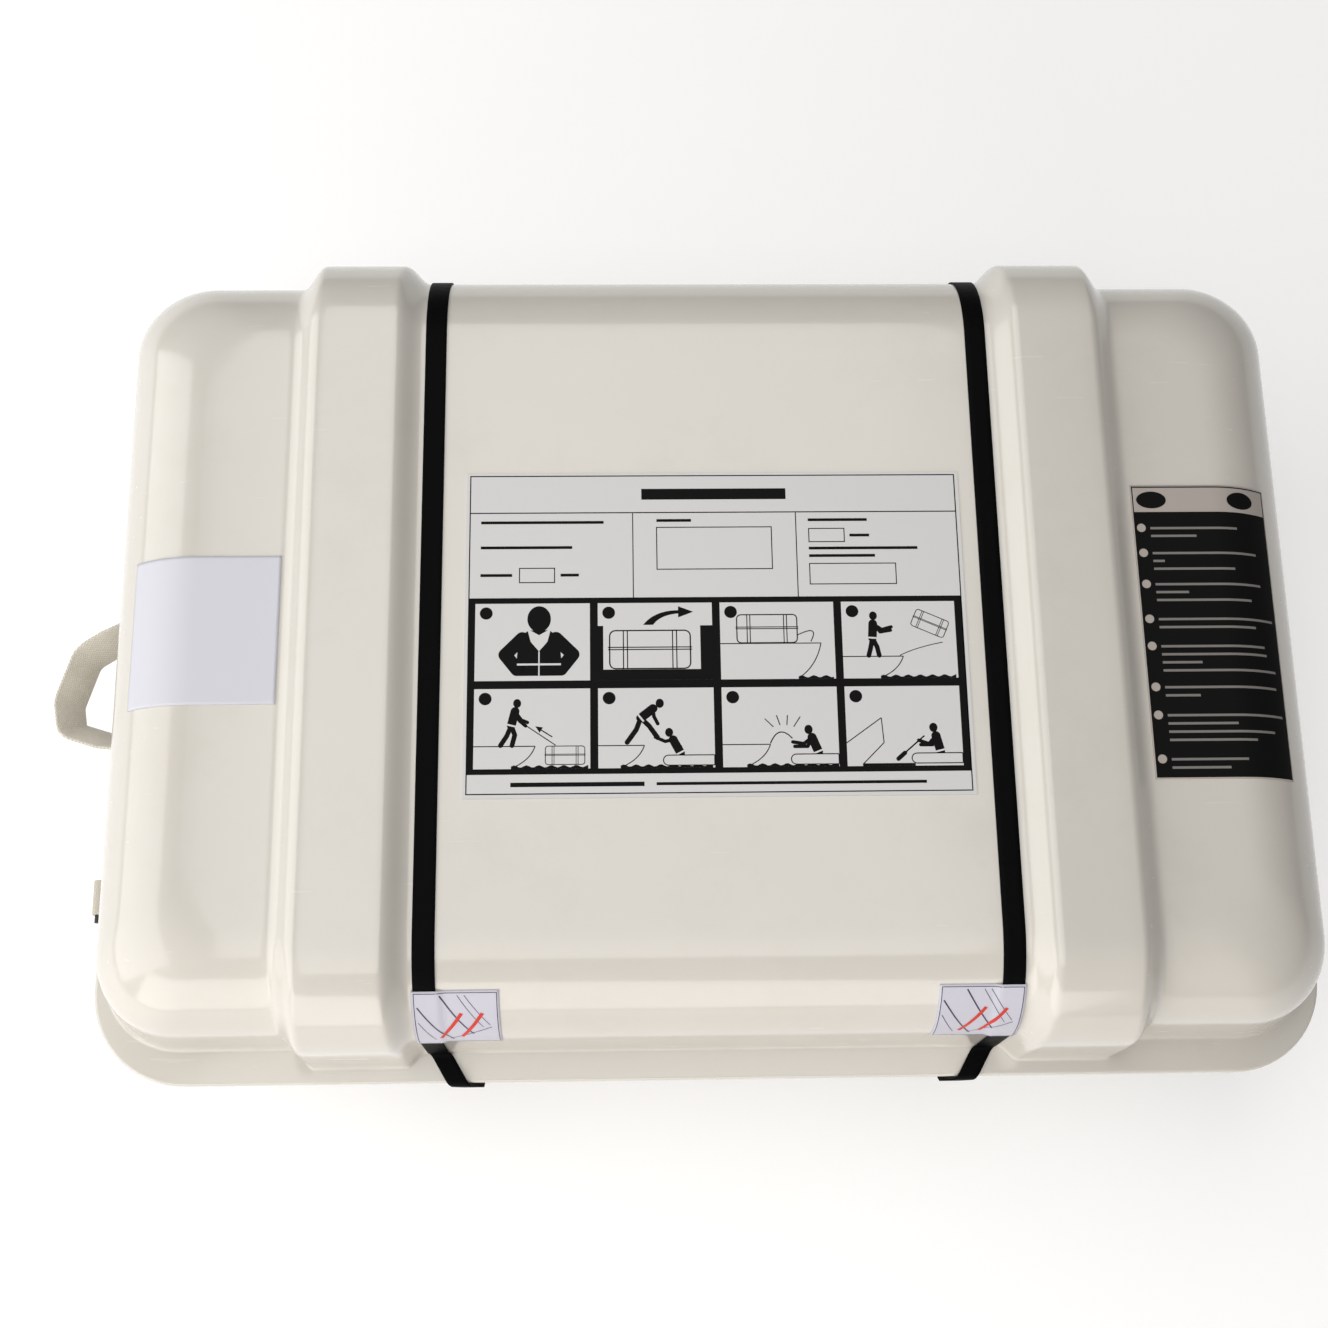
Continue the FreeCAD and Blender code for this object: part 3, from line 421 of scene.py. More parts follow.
def set_shader(tree, shader, **values):
    """Sets or links the shader's own sockets, by short names."""
    names = {"colour": "Base Color", "rough": "Roughness", "metal": "Metallic", "normal": "Normal",
             "coat": "Coat Weight", "coat_rough": "Coat Roughness", "index": "IOR", "sheen": "Sheen Weight",
             "specular": "Specular IOR Level"}
    for key, value in values.items():
        socket = shader.inputs[names[key]]
        if isinstance(value, bpy.types.NodeSocket):
            tree.links.new(value, socket)
        else:
            socket.default_value = value


def use_group(tree, source, **values):
    """A group's node with its sockets set or linked."""
    made = tree.nodes.new("ShaderNodeGroup")
    made.node_tree = source
    for key, value in values.items():
        if isinstance(value, bpy.types.NodeSocket):
            tree.links.new(value, made.inputs[key])
        else:
            made.inputs[key].default_value = value
    return made


def gelcoat_material():
    """Glossy cream gelcoat with a faintly uneven skin, a little grime and age."""
    material, tree, shader = new_material("cream_gelcoat")
    place = object_place(tree)
    skin = use_group(tree, SKIN, Place=place, Wave=0.25, Peel=0.05)
    cream = mix_colour(tree, skin.outputs["Tone"], (0.60, 0.575, 0.525, 1), (0.67, 0.65, 0.60, 1))
    grime = add_node(tree, "Math", {0: skin.outputs["Dirt"], 1: 0.10}, operation="MULTIPLY")
    soiled = mix_colour(tree, grime.outputs[0], cream, (0.42, 0.36, 0.28, 1))
    rough = add_node(tree, "MapRange", {"Value": skin.outputs["Scratch"], "To Min": 0.16, "To Max": 0.32})
    set_shader(tree, shader, colour=soiled, rough=rough.outputs["Result"], normal=skin.outputs["Normal"],
               coat=0.35, coat_rough=0.05, index=1.5)
    return material


def plain_material(name, colour, rough, metal=0.0, peel=0.3, **extra):
    """A plain moulded, painted or metal surface with a fine texture and faint wear."""
    material, tree, shader = new_material(name)
    skin = use_group(tree, SKIN, Place=object_place(tree), Wave=0.0, Peel=peel)
    darker, lighter = [c * 0.9 for c in colour] + [1], [min(c * 1.1, 1) for c in colour] + [1]
    tone = mix_colour(tree, skin.outputs["Tone"], darker, lighter)
    worn = add_node(tree, "MapRange", {"Value": skin.outputs["Scratch"], "To Min": rough,
                                       "To Max": min(rough + 0.15, 1)})
    set_shader(tree, shader, colour=tone, rough=worn.outputs["Result"], metal=metal,
               normal=skin.outputs["Normal"], **extra)
    return material


def woven_material(name, colour, across, along, kind):
    """Woven cloth; its threads follow the strip's own run, or the part's frame on a plain sheet."""
    material, tree, shader = new_material(name)
    threads = tree.nodes.new("ShaderNodeTexCoord").outputs[kind]
    weave = use_group(tree, WEAVE, Place=threads, Across=across, Along=along, Depth=0.6)
    skin = use_group(tree, SKIN, Place=object_place(tree), Wave=0.0, Peel=0.0)
    base = mix_colour(tree, skin.outputs["Dirt"], list(colour) + [1], [c * 0.8 for c in colour] + [1])
    # The weave's painted shade darkens the cloth's colour in the low places between its threads.
    shaded = mix_colour(tree, 1.0, base, weave.outputs["Gap_Shade"], "MULTIPLY")
    set_shader(tree, shader, colour=shaded, rough=0.85, normal=weave.outputs["Normal"], sheen=0.3)
    return material


def ink_material(name, colour, rough=0.45, gloss=0.3):
    """A smooth, even colour, such as film, ink or paint."""
    material, tree, shader = new_material(name)
    set_shader(tree, shader, colour=list(colour) + [1], rough=rough, specular=gloss)
    return material


GELCOAT = gelcoat_material()
STRAPPING = plain_material("black_strapping", (0.0025, 0.0025, 0.0028), 0.5, peel=0.5, specular=0.03)
WEBBING = woven_material("beige_webbing", (0.74, 0.70, 0.61), 2600.0, 3400.0, "UV")
TAPE = woven_material("cream_tape", (0.62, 0.58, 0.50), 3200.0, 2600.0, "Object")
BLACK_RUBBER = plain_material("black_rubber", (0.012, 0.012, 0.012), 0.6)
SEAL_METAL = plain_material("dull_zinc", (0.40, 0.40, 0.41), 0.38, metal=1.0, peel=0.6)
RIVET_METAL = plain_material("rivet_metal", (0.62, 0.62, 0.63), 0.32, metal=1.0)
GREY_SHEET = ink_material("grey_sheet", (0.640, 0.640, 0.640))
WHITE_SHEET = ink_material("white_sheet", (0.62, 0.625, 0.69))
LILAC_SHEET = ink_material("lilac_sheet", (0.56, 0.56, 0.64))
BLACK_INK = ink_material("black_ink", (0.006, 0.006, 0.006), 0.6, 0.06)
LIGHT_INK = ink_material("light_ink", (0.42, 0.38, 0.35))
DIM_INK = ink_material("dim_ink", (0.20, 0.19, 0.18))
PEARL_SHEET = ink_material("pearl_sheet", (0.42, 0.38, 0.35), 0.3, 0.5)
RED_INK = ink_material("red_ink", (0.62, 0.035, 0.02))
LINE_INK = ink_material("thin_line_ink", (0.05, 0.045, 0.09))
PACK_FILM = plain_material("orange_film", (0.62, 0.12, 0.03), 0.4)
FOAM = plain_material("pale_foam", (0.7, 0.7, 0.66), 0.9)
GREY_PAINT = plain_material("grey_paint", (0.30, 0.31, 0.32), 0.4)
BRASS = plain_material("brass", (0.70, 0.50, 0.20), 0.35, metal=1.0)


# The two halves

upper = moulded_half("upper_half", UPPER_RISE, True, False, CREASE)
lower = moulded_half("lower_half", LOWER_RISE, False, True, LOWER_FACE)
for half, node in ((upper, "upper_shell"), (lower, "lower_shell")):
    half.data.materials.append(GELCOAT)
    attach(half, "root")
    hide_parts(node)

for node, material in {
    "rim_gasket": BLACK_RUBBER, "band_seals": SEAL_METAL, "instruction_label": GREY_SHEET,
    "handle_rivets": RIVET_METAL, "backing_plates": RIVET_METAL, "outlet_grommet": BLACK_RUBBER,
    "painter_tail": TAPE, "tail_toggle": BLACK_RUBBER, "drain_plugs": BLACK_RUBBER, "floor_pad": FOAM,
    "top_pad": FOAM, "raft_pack": PACK_FILM, "line_bag": PACK_FILM, "gas_cylinder": GREY_PAINT,
    "cylinder_saddles": FOAM, "firing_head": BRASS, "inflation_hose": BLACK_RUBBER,
    "emergency_kit": PACK_FILM,
}.items():
    nodes[node].data.materials.clear()
    nodes[node].data.materials.append(material)


# Bands and webbing: flat strips along a path

def ribbon(name, stations, wide, thick, material, node, across=None):
    """A flat strip with soft edges along stations: a point and the way its face looks."""
    outline = ((-1, -0.4), (-1, 0.4), (-0.95, 1), (-0.5, 1), (0, 1), (0.5, 1), (0.95, 1), (1, 0.4), (1, -0.4),
               (0.95, -1), (0, -1), (-0.95, -1))
    vertices, places = [], []
    last = len(stations) - 1
    run = 0.0
    for n, (point, face) in enumerate(stations):
        step = stations[min(n + 1, last)][0] - stations[max(n - 1, 0)][0]
        side = across or step.cross(face).normalized()
        run += (point - stations[max(n - 1, 0)][0]).length
        for a, b in outline:
            vertices.append(point + side * (a * wide / 2) + face * (b * thick / 2))
            places.append((run, a * wide / 2))
    count = len(outline)
    faces = ring_faces(last, count)
    faces += [tuple(range(count)), tuple(range(last * count, (last + 1) * count))]
    thing = add_piece(name, vertices, faces, [material])
    face_outward(thing)
    layer = thing.data.uv_layers.new(name="along")
    for loop in thing.data.loops:
        layer.data[loop.index].uv = places[loop.vertex_index]
    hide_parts(node)


BAND_WIDE = 13 * MM
BAND_THICK = 0.8 * MM
BAND_GAP = 0.3 * MM
BAND_OFF = BAND_GAP + BAND_THICK / 2
BAND_LANE = 168.5 * MM
BAND_LOWER_LANE = 148 * MM
BAND_BEND = 4 * MM
BAND_TURN = 4.6 * MM
BAND_BULGE = 1.4 * MM
BAND_LAP = 0.1 * MM
LAP_LOW = 14 * MM
LAP_HIGH = 46 * MM


def look(angle):
    """A direction across the container, from outward at 0 to up at 90 degrees."""
    return Vector((0, math.cos(math.radians(angle)), math.sin(math.radians(angle))))


def turn(centre, radius, start, finish, steps, hollow=False):
    """Stations round an arc across the container; on a hollow bend the face looks towards the centre."""
    angles = [lerp(start, finish, n / steps) for n in range(steps + 1)]
    reach = -radius if hollow else radius
    return [(centre + look(angle) * reach, look(angle)) for angle in angles]


def wall_station(height, off):
    """A station off the far wall of the upper half, at a height above the crease."""
    face = look(math.degrees(SIDE_DRAFT))
    return Vector((0, HALF_WIDTH - height * math.tan(SIDE_DRAFT), CREASE + height)) + face * off, face


def far_half():
    """Stations of a band on the far side, from the top's middle over the rim to the bottom's middle."""
    draft = math.degrees(SIDE_DRAFT)
    edge = EDGE_RADIUS + BAND_OFF
    outmost = BAND_BULGE + BAND_OFF
    top = [(Vector((0, SIDE_ARC * n / 8, TOP + BAND_OFF)), look(90)) for n in range(8)]
    top += turn(Vector((0, SIDE_ARC, TOP - EDGE_RADIUS)), edge, 90, draft, 26)
    hollow = Vector((0, HALF_WIDTH + BAND_OFF + BAND_BEND, CREASE + BAND_OFF + BAND_BEND))
    foot = turn(hollow, BAND_BEND, draft, 90, 8, True)
    rim = Vector((0, RIM_HALF_WIDTH + outmost - BAND_TURN, CREASE + outmost - BAND_TURN))
    corner = Vector((0, RIM_HALF_WIDTH + outmost, LIP_BOTTOM))
    centre = Vector((0, LOWER_SIDE_ARC, RIB_PROUD + EDGE_RADIUS))
    reach = corner - centre
    tangent = math.degrees(math.atan2(reach.z, reach.y) - math.acos(edge / reach.length))
    slanting = foot + turn(rim, BAND_TURN, 90, 0, 10) + [(corner, look(tangent / 2))]
    bottom = turn(centre, edge, tangent, -90, 24)
    bottom += [(Vector((0, LOWER_SIDE_ARC * (1 - n / 8), RIB_PROUD - BAND_OFF)), look(-90))
               for n in range(1, 9)]
    run = [0.0]
    for (here, _), (after, _) in zip(slanting, slanting[1:]):
        run.append(run[-1] + (after - here).length)
    lanes = [BAND_LANE] * len(top) + [lerp(BAND_LANE, BAND_LOWER_LANE, done / run[-1]) for done in run]
    lanes += [BAND_LOWER_LANE] * len(bottom)
    stations = top + slanting + bottom
    return [(point + Vector((lane, 0, 0)), face) for (point, face), lane in zip(stations, lanes)]


def turned_over(stations, along, across):
    """Stations mirrored where along or across is -1."""
    return [(Vector((p.x * along, p.y * across, p.z)), Vector((f.x, f.y * across, f.z))) for p, f in stations]


def make_band(name, along):
    """A closing band all round, whose ends lap under the seal on the far wall."""
    far = far_half()
    lane = Vector((BAND_LANE, 0, 0))
    heights = [lerp(LAP_LOW, LAP_HIGH, n / 6) for n in range(6)]
    start, lap = [], []
    for height in heights:
        for layer, off in ((start, BAND_OFF), (lap, BAND_OFF + BAND_THICK + BAND_LAP)):
            point, face = wall_station(height, off)
            layer.append((point + lane, face))
    crown = [station for station in far if station[0].z > CREASE + LAP_HIGH]
    rim = [station for station in far if station[0].z < CREASE + LAP_LOW - 2 * MM]
    path = turned_over(start + crown[::-1] + turned_over(far[1:-1], 1, -1) + rim[::-1] + lap, along, 1)
    ribbon(name + "_strap", path, BAND_WIDE, BAND_THICK, STRAPPING, name, Vector((1, 0, 0)))


make_band("left_band", -1)
make_band("right_band", 1)


HANDLE_MIDDLE = Vector((-372.78, -4, 107.77)) * MM
HANDLE_CORNERS = ((0, 80), (0, 48), (-1, 44), (-38, 20), (-48, -12), (-45, -30), (-1, -44), (0, -48),
                  (0, -80))
HANDLE_STIFF = 0.3
HANDLE_REACH = 48 * MM
HANDLE_LEAN = math.radians(34)
HANDLE_WIDE = 25 * MM
HANDLE_THICK = 2.2 * MM


def softened(corners, times, stiff):
    """A path with its corners cut off again and again, so that it bends smoothly but tightly."""
    path = [corners[0]]
    for here, after in zip(corners, corners[1:]):
        path += [here.lerp(after, stiff), here.lerp(after, 1 - stiff), after]
    corners = path
    for _ in range(times):
        path = [corners[0]]
        for here, after in zip(corners, corners[1:]):
            path += [here.lerp(after, 0.25), here.lerp(after, 0.75)]
        corners = path + [corners[-1]]
    return corners


def make_handle():
    """Webbing with two tabs flat on the wall and a loop that leans out at its top edge."""
    path = softened([Vector((x, y, 0)) * MM for x, y in HANDLE_CORNERS], 3, HANDLE_STIFF)
    last = len(path) - 1
    stations = []
    for n, point in enumerate(path):
        level = (path[min(n + 1, last)] - path[max(n - 1, 0)]).cross(Vector((0, 0, 1))).normalized()
        free = min(-2 * point.x / HANDLE_REACH, 1)
        lean = lerp(END_DRAFT, HANDLE_LEAN, free)
        stations.append((HANDLE_MIDDLE + point, level * math.cos(lean) - Vector((0, 0, math.sin(lean)))))
    ribbon("handle_webbing", stations, HANDLE_WIDE, HANDLE_THICK, WEBBING, "carry_handle")


make_handle()


# Labels: thin sheets that follow the shell, and the print on them

LABEL_GAP = 0.1 * MM
LABEL_THICK = 0.4 * MM
INK_LIFT = 0.03 * MM
INK_STEP = 0.0012 * MM
INK_STEPS = 16
WHOLE_GRAIN = 300.0
FINE_GRAIN = 2.0
BAND_LABEL_LONG = 50 * MM
BAND_LABEL_INSET = 17.5 * MM
BAND_LABEL_LOW = 50 * MM
BAND_LABEL_HIGH = 94 * MM
BAND_LABEL_RAMP = 5 * MM
BAND_LABEL_CELL = 1.6 * MM


def plate_surface(x, y, lift):
    """The instruction plate, from its lower left corner."""
    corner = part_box("instruction_label")[0]
    return Vector((corner.x + x, corner.y + y, corner.z + lift))


def end_surface(start, low):
    """A sheet over an end of the upper half, from its inner edge outward and from its lower edge up."""
    toward = 1 if start > 0 else -1

    def surface(x, y, lift):
        radius = EDGE_RADIUS + LABEL_GAP + lift
        angle = max(abs(start) + x - END_ARC, 0.0) / (EDGE_RADIUS + LABEL_GAP)
        flat = min(abs(start) + x, END_ARC)
        return Vector((toward * (flat + radius * math.sin(angle)), low + y,
                       TOP - END_FALL - EDGE_RADIUS + radius * math.cos(angle)))
    return surface


def length_round_end(x):
    """How far out a place at x lies, measured over the curved end."""
    return END_ARC + (EDGE_RADIUS + LABEL_GAP) * math.asin((x - END_ARC) / (EDGE_RADIUS + LABEL_GAP))


def edge_angle(height):
    """How far round the near top edge a height above the crease lies."""
    return math.asin((height - UPPER_RISE + EDGE_RADIUS) / EDGE_RADIUS)


def band_surface(along):
    """A sheet over a band where it turns down the near wall, from its left edge and its lower edge."""
    middle = along * (BAND_LANE - BAND_LABEL_INSET)
    start = edge_angle(BAND_LABEL_LOW)

    def surface(x, y, lift):
        place = middle - BAND_LABEL_LONG / 2 + x
        climb = clamp((abs(place) - BAND_LANE + BAND_WIDE / 2 + BAND_LABEL_RAMP) / BAND_LABEL_RAMP)
        radius = EDGE_RADIUS + LABEL_GAP + (BAND_GAP + BAND_THICK) * climb * climb * (3 - 2 * climb) + lift
        angle = start + y / EDGE_RADIUS
        return Vector((place, -SIDE_ARC - radius * math.cos(angle),
                       TOP - EDGE_RADIUS + radius * math.sin(angle)))
    return surface


def laid_sheet(node, surface, wide, high, material, cell=FINE_GRAIN * MM):
    """A thin sheet laid on a surface, with its cut edges."""
    columns, rows = math.ceil(wide / cell), math.ceil(high / cell)
    vertices, faces = [], []
    for lift in (0.0, LABEL_THICK):
        for row in range(rows + 1):
            for column in range(columns + 1):
                vertices.append(surface(wide * column / columns, high * row / rows, lift))
    level = (rows + 1) * (columns + 1)
    for row in range(rows):
        for column in range(columns):
            here = row * (columns + 1) + column
            above = here + columns + 1
            faces.append((here, above, above + 1, here + 1))
            faces.append((level + here, level + here + 1, level + above + 1, level + above))
    rim = list(range(columns)) + [n * (columns + 1) + columns for n in range(rows)]
    rim += [level - 1 - n for n in range(columns)] + [(rows - n) * (columns + 1) for n in range(rows)]
    for here, after in zip(rim, rim[1:] + rim[:1]):
        faces.append((here, after, level + after, level + here))
    thing = add_piece(node + "_sheet", vertices, faces, [material])
    face_outward(thing)
    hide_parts(node)


LIGHT, DARK, THIRD = 0, 1, 2


class Print:
    """Ink on a sheet, in millimetres from its corner; a higher layer lies a hair above a lower one."""

    def __init__(self, surface, grain_x=WHOLE_GRAIN, grain_y=WHOLE_GRAIN):
        self.surface = surface
        self.grain_x, self.grain_y = grain_x, grain_y
        self.origin = (0.0, 0.0)
        self.vertices, self.faces, self.inks = [], [], []

    def shape(self, points, ink, layer=1):
        """One flat shape; shapes that follow each other lie a trace apart, so that none share a level."""
        start = len(self.vertices)
        lift = LABEL_THICK + layer * INK_LIFT + len(self.faces) % INK_STEPS * INK_STEP
        for x, y in points:
            self.vertices.append(self.surface((self.origin[0] + x) * MM, (self.origin[1] + y) * MM, lift))
        self.faces.append(tuple(range(start, start + len(points))))
        self.inks.append(ink)

    def box(self, left, low, right, high, ink, layer=1):
        """A rectangle, in pieces small enough to bend with the sheet."""
        columns = math.ceil((right - left) / self.grain_x)
        rows = math.ceil((high - low) / self.grain_y)
        for column in range(columns):
            for row in range(rows):
                x0, x1 = lerp(left, right, column / columns), lerp(left, right, (column + 1) / columns)
                y0, y1 = lerp(low, high, row / rows), lerp(low, high, (row + 1) / rows)
                self.shape([(x0, y0), (x1, y0), (x1, y1), (x0, y1)], ink, layer)

    def frame(self, left, low, right, high, wide):
        """A thin dark outline inside a rectangle."""
        self.box(left, low, right, low + wide, DARK)
        self.box(left, high - wide, right, high, DARK)
        self.box(left, low + wide, left + wide, high - wide, DARK)
        self.box(right - wide, low + wide, right, high - wide, DARK)

    def disc(self, x, y, radius, ink, layer=1, tall=1.0):
        """A disc or an ellipse, in upright slices."""
        turns = [math.pi * n / 16 for n in range(17)]
        for t0, t1 in zip(turns, turns[1:]):
            x0, x1 = x - radius * math.cos(t0), x - radius * math.cos(t1)
            y0, y1 = radius * tall * math.sin(t0), radius * tall * math.sin(t1)
            if t0 == 0:
                self.shape([(x0, y), (x1, y - y1), (x1, y + y1)], ink, layer)
            elif t1 == math.pi:
                self.shape([(x0, y - y0), (x1, y), (x0, y + y0)], ink, layer)
            else:
                self.shape([(x0, y - y0), (x1, y - y1), (x1, y + y1), (x0, y + y0)], ink, layer)

    def line(self, points, wide, ink=DARK, layer=3, round_ends=False):
        """A line through points, in stretches that bend with the sheet."""
        for (x0, y0), (x1, y1) in zip(points, points[1:]):
            length = math.hypot(x1 - x0, y1 - y0)
            side_x, side_y = -(y1 - y0) / length * wide / 2, (x1 - x0) / length * wide / 2
            count = math.ceil(length / min(self.grain_x, self.grain_y))
            for n in range(count):
                a, b = n / count, (n + 1) / count
                ax, ay, bx, by = lerp(x0, x1, a), lerp(y0, y1, a), lerp(x0, x1, b), lerp(y0, y1, b)
                self.shape([(ax - side_x, ay - side_y), (bx - side_x, by - side_y),
                            (bx + side_x, by + side_y), (ax + side_x, ay + side_y)], ink, layer)
        if round_ends:
            for x, y in points:
                self.disc(x, y, wide / 2, ink, layer)

    def finish(self, name, light, dark, *more):
        """Makes the print one piece, with every face turned away from the sheet."""
        thing = add_piece(name, self.vertices, self.faces, [light, dark, *more], False, self.inks)
        flipped = [face.index for face in thing.data.polygons if face.normal.dot(self.outward()) < 0]
        for index in flipped:
            thing.data.polygons[index].flip()

    def outward(self):
        """The way that the sheet's lower left corner faces."""
        return self.surface(0, 0, 1) - self.surface(0, 0, 0)


def curve(points, steps=12):
    """A smooth run of points from the first to the last, drawn to the one between them."""
    (ax, ay), (bx, by), (cx, cy) = points
    shares = [n / steps for n in range(steps + 1)]
    return [(lerp(lerp(ax, bx, s), lerp(bx, cx, s), s), lerp(lerp(ay, by, s), lerp(by, cy, s), s))
            for s in shares]


CELL_WIDE = 68.2
CELL_PITCH = 72.9
CELL_LEFT = 6.3
CELL_ROWS = ((70.5, 118.2), (17.4, 65.6))


def draw_case(ink, x, y, wide, high, tilt=0.0, line=0.7):
    """The container in outline: a box with round corners, two pairs of bands and its rim."""
    cos_tilt, sin_tilt = math.cos(math.radians(tilt)), math.sin(math.radians(tilt))

    def at(points):
        return [(x + px * cos_tilt - py * sin_tilt, y + px * sin_tilt + py * cos_tilt) for px, py in points]

    soft = high * 0.14
    corners = ((wide - soft, high - soft, 0), (soft, high - soft, 90), (soft, soft, 180),
               (wide - soft, soft, 270))
    turns = [(cx, cy, math.radians(start + n * 30)) for cx, cy, start in corners for n in range(4)]
    outline = [(cx + soft * math.cos(angle), cy + soft * math.sin(angle)) for cx, cy, angle in turns]
    ink.line(at(outline + outline[:1]), line)
    for share in (0.17, 0.22, 0.78, 0.83):
        ink.line(at([(wide * share, 0), (wide * share, high)]), line * 0.8)
    for up in (0.50, 0.56):
        ink.line(at([(-wide * 0.02, high * up), (wide * 1.02, high * up)]), line * 0.8)


def draw_hull(ink, deck, bow):
    """A ship's side with its deck and its bow, standing in the sea."""
    ink.line([(0, deck), (bow, deck)], 0.6)
    ink.line(curve([(bow, deck), (bow - 3, deck * 0.35), (bow - 14, 0.4)]), 0.6)
    count = int((CELL_WIDE - bow + 14) / 1.5) + 1
    crests = [(bow - 14 + n * 1.5, 1.5 + 0.7 * math.sin(n * 1.3)) for n in range(count)]
    ink.shape([(bow - 14, 0)] + crests + [(crests[-1][0], 0)], DARK, 3)


def draw_raft(ink, left):
    """One tube of a raft that floats at the right of the cell."""
    ends = [(left + 3 - 3 * math.sin(math.pi * n / 8), 4.5 - 3 * math.cos(math.pi * n / 8)) for n in range(9)]
    tube = ends + [(CELL_WIDE - 0.2, 7.5), (CELL_WIDE - 0.2, 1.5)]
    ink.shape(tube, LIGHT, 4)
    ink.line(tube + tube[:1], 0.6, layer=5)


def draw_person(ink, x, y, size, lean, legs, arms):
    """A plain figure from its hip: trunk, head, and limbs whose joints are given in shares of its size."""
    lean = math.radians(lean)
    up = (math.sin(lean), math.cos(lean))
    neck = (x + up[0] * size * 0.34, y + up[1] * size * 0.34)
    ink.line([(x, y), neck], size * 0.20, layer=3, round_ends=True)
    ink.disc(neck[0] + up[0] * size * 0.19, neck[1] + up[1] * size * 0.19, size * 0.09, DARK, 3, 1.15)
    for start, limbs, wide in (((x, y), legs, 0.11), (neck, arms, 0.08)):
        for joints in limbs:
            path = [start] + [(start[0] + a * size, start[1] + b * size) for a, b in joints]
            ink.line(path, size * wide, layer=3, round_ends=True)
    belt = (up[1] * size * 0.10, -up[0] * size * 0.10)
    ink.line([(x - belt[0], y - belt[1]), (x + belt[0], y + belt[1])], size * 0.04, LIGHT, 4)


def draw_steps(ink):
    """Eight small scenes of how the raft is used, each in its light cell on the black panel."""
    ink.box(2.0, 14.1, 298.0, 121.7, DARK)
    for low, high in CELL_ROWS:
        for n in range(4):
            left = CELL_LEFT + n * CELL_PITCH
            ink.box(left, low, left + CELL_WIDE, high, LIGHT, 2)
            ink.disc(left + 6.5, high - 6, 3.8, DARK, 3)

    ink.origin = (CELL_LEFT, CELL_ROWS[0][0])
    ink.shape([(24, 3), (52, 3), (50, 27), (44, 31), (32, 31), (26, 27)], DARK, 3)
    ink.line([(28, 26), (18, 16), (25, 7)], 8, round_ends=True)
    ink.line([(48, 26), (58, 16), (51, 7)], 8, round_ends=True)
    ink.disc(38, 38, 7, DARK, 3, 1.15)
    ink.shape([(31, 32), (38, 28), (45, 32), (43, 24), (38, 18), (33, 24)], LIGHT, 4)
    ink.line([(25, 10), (51, 10)], 1.2, LIGHT, 4)
    ink.line([(38, 18), (38, 3)], 0.8, LIGHT, 4)

    ink.origin = (CELL_LEFT + CELL_PITCH, CELL_ROWS[0][0])
    for left, low, right, high in ((0, 0, 3.2, 33.5), (3.2, 0, 61, 6.5), (61, 0, CELL_WIDE, 33.5)):
        ink.box(left, low, right, high, DARK, 3)
    draw_case(ink, 7, 7, 48, 23.5, line=0.8)
    arrow = curve([(27, 34), (34, 43), (48, 43)]) + curve([(48, 41), (37, 40), (33, 34)])
    ink.shape(arrow, DARK, 3)
    ink.shape([(48, 38.5), (57, 42), (48, 45.5)], DARK, 3)

    ink.origin = (CELL_LEFT + 2 * CELL_PITCH, CELL_ROWS[0][0])
    draw_hull(ink, 22, 60)
    draw_case(ink, 10, 22.4, 36, 17.5)
    ink.line(curve([(46, 27), (60, 34), (54, 23)]), 0.6)

    ink.origin = (CELL_LEFT + 3 * CELL_PITCH, CELL_ROWS[0][0])
    draw_hull(ink, 13.5, 36)
    draw_person(ink, 18, 25, 26, 4, (((-0.05, -0.24), (-0.10, -0.42)), ((0.10, -0.22), (0.14, -0.42))),
                (((0.20, -0.14), (0.42, -0.08)), ((0.16, -0.20), (0.40, -0.16))))
    draw_case(ink, 41, 33, 21, 11, tilt=-24, line=0.5)
    ink.line(curve([(60, 22), (44, 19), (34, 14)]), 0.5)

    ink.origin = (CELL_LEFT, CELL_ROWS[1][0])
    draw_hull(ink, 13.5, 36)
    draw_person(ink, 22, 26, 26, 14, (((-0.10, -0.24), (-0.24, -0.46)), ((0.08, -0.22), (0.02, -0.46))),
                (((0.14, -0.20), (0.28, -0.26)), ((0.10, -0.22), (0.24, -0.34))))
    ink.line([(29, 27), (48, 14)], 0.6)
    draw_case(ink, 42, 2.5, 23, 11, line=0.5)
    ink.line([(46, 19), (39, 23.5)], 0.7)
    ink.shape([(36, 25.5), (40.5, 24.8), (38.6, 21.6)], DARK, 3)

    ink.origin = (CELL_LEFT + CELL_PITCH, CELL_ROWS[1][0])
    draw_hull(ink, 13.5, 27)
    draw_person(ink, 25, 30, 27, 52, (((-0.10, -0.26), (-0.30, -0.54)), ((0.18, -0.18), (0.36, -0.44))),
                (((0.02, -0.18), (0.10, -0.34)),))
    draw_person(ink, 48, 9, 26, -28, (((0.08, -0.10), (0.10, -0.2)),),
                (((-0.18, -0.04), (-0.40, 0.06)), ((0.16, -0.16), (0.20, -0.36))))
    draw_raft(ink, 38)

    ink.origin = (CELL_LEFT + 2 * CELL_PITCH, CELL_ROWS[1][0])
    draw_hull(ink, 13.5, 28)
    draw_person(ink, 56, 9, 27, -22, (((0.08, -0.10), (0.10, -0.2)),),
                (((-0.18, -0.14), (-0.42, -0.10)), ((-0.10, -0.20), (-0.38, -0.20))))
    ink.line(curve([(28, 14), (33, 26), (41, 17)]), 0.7)
    for x0, y0, x1, y1 in ((30, 24, 25, 29), (34, 25, 32, 31), (38, 25, 38.5, 31), (42, 24, 46, 30)):
        ink.line([(x0, y0), (x1, y1)], 0.6)
    draw_raft(ink, 40)

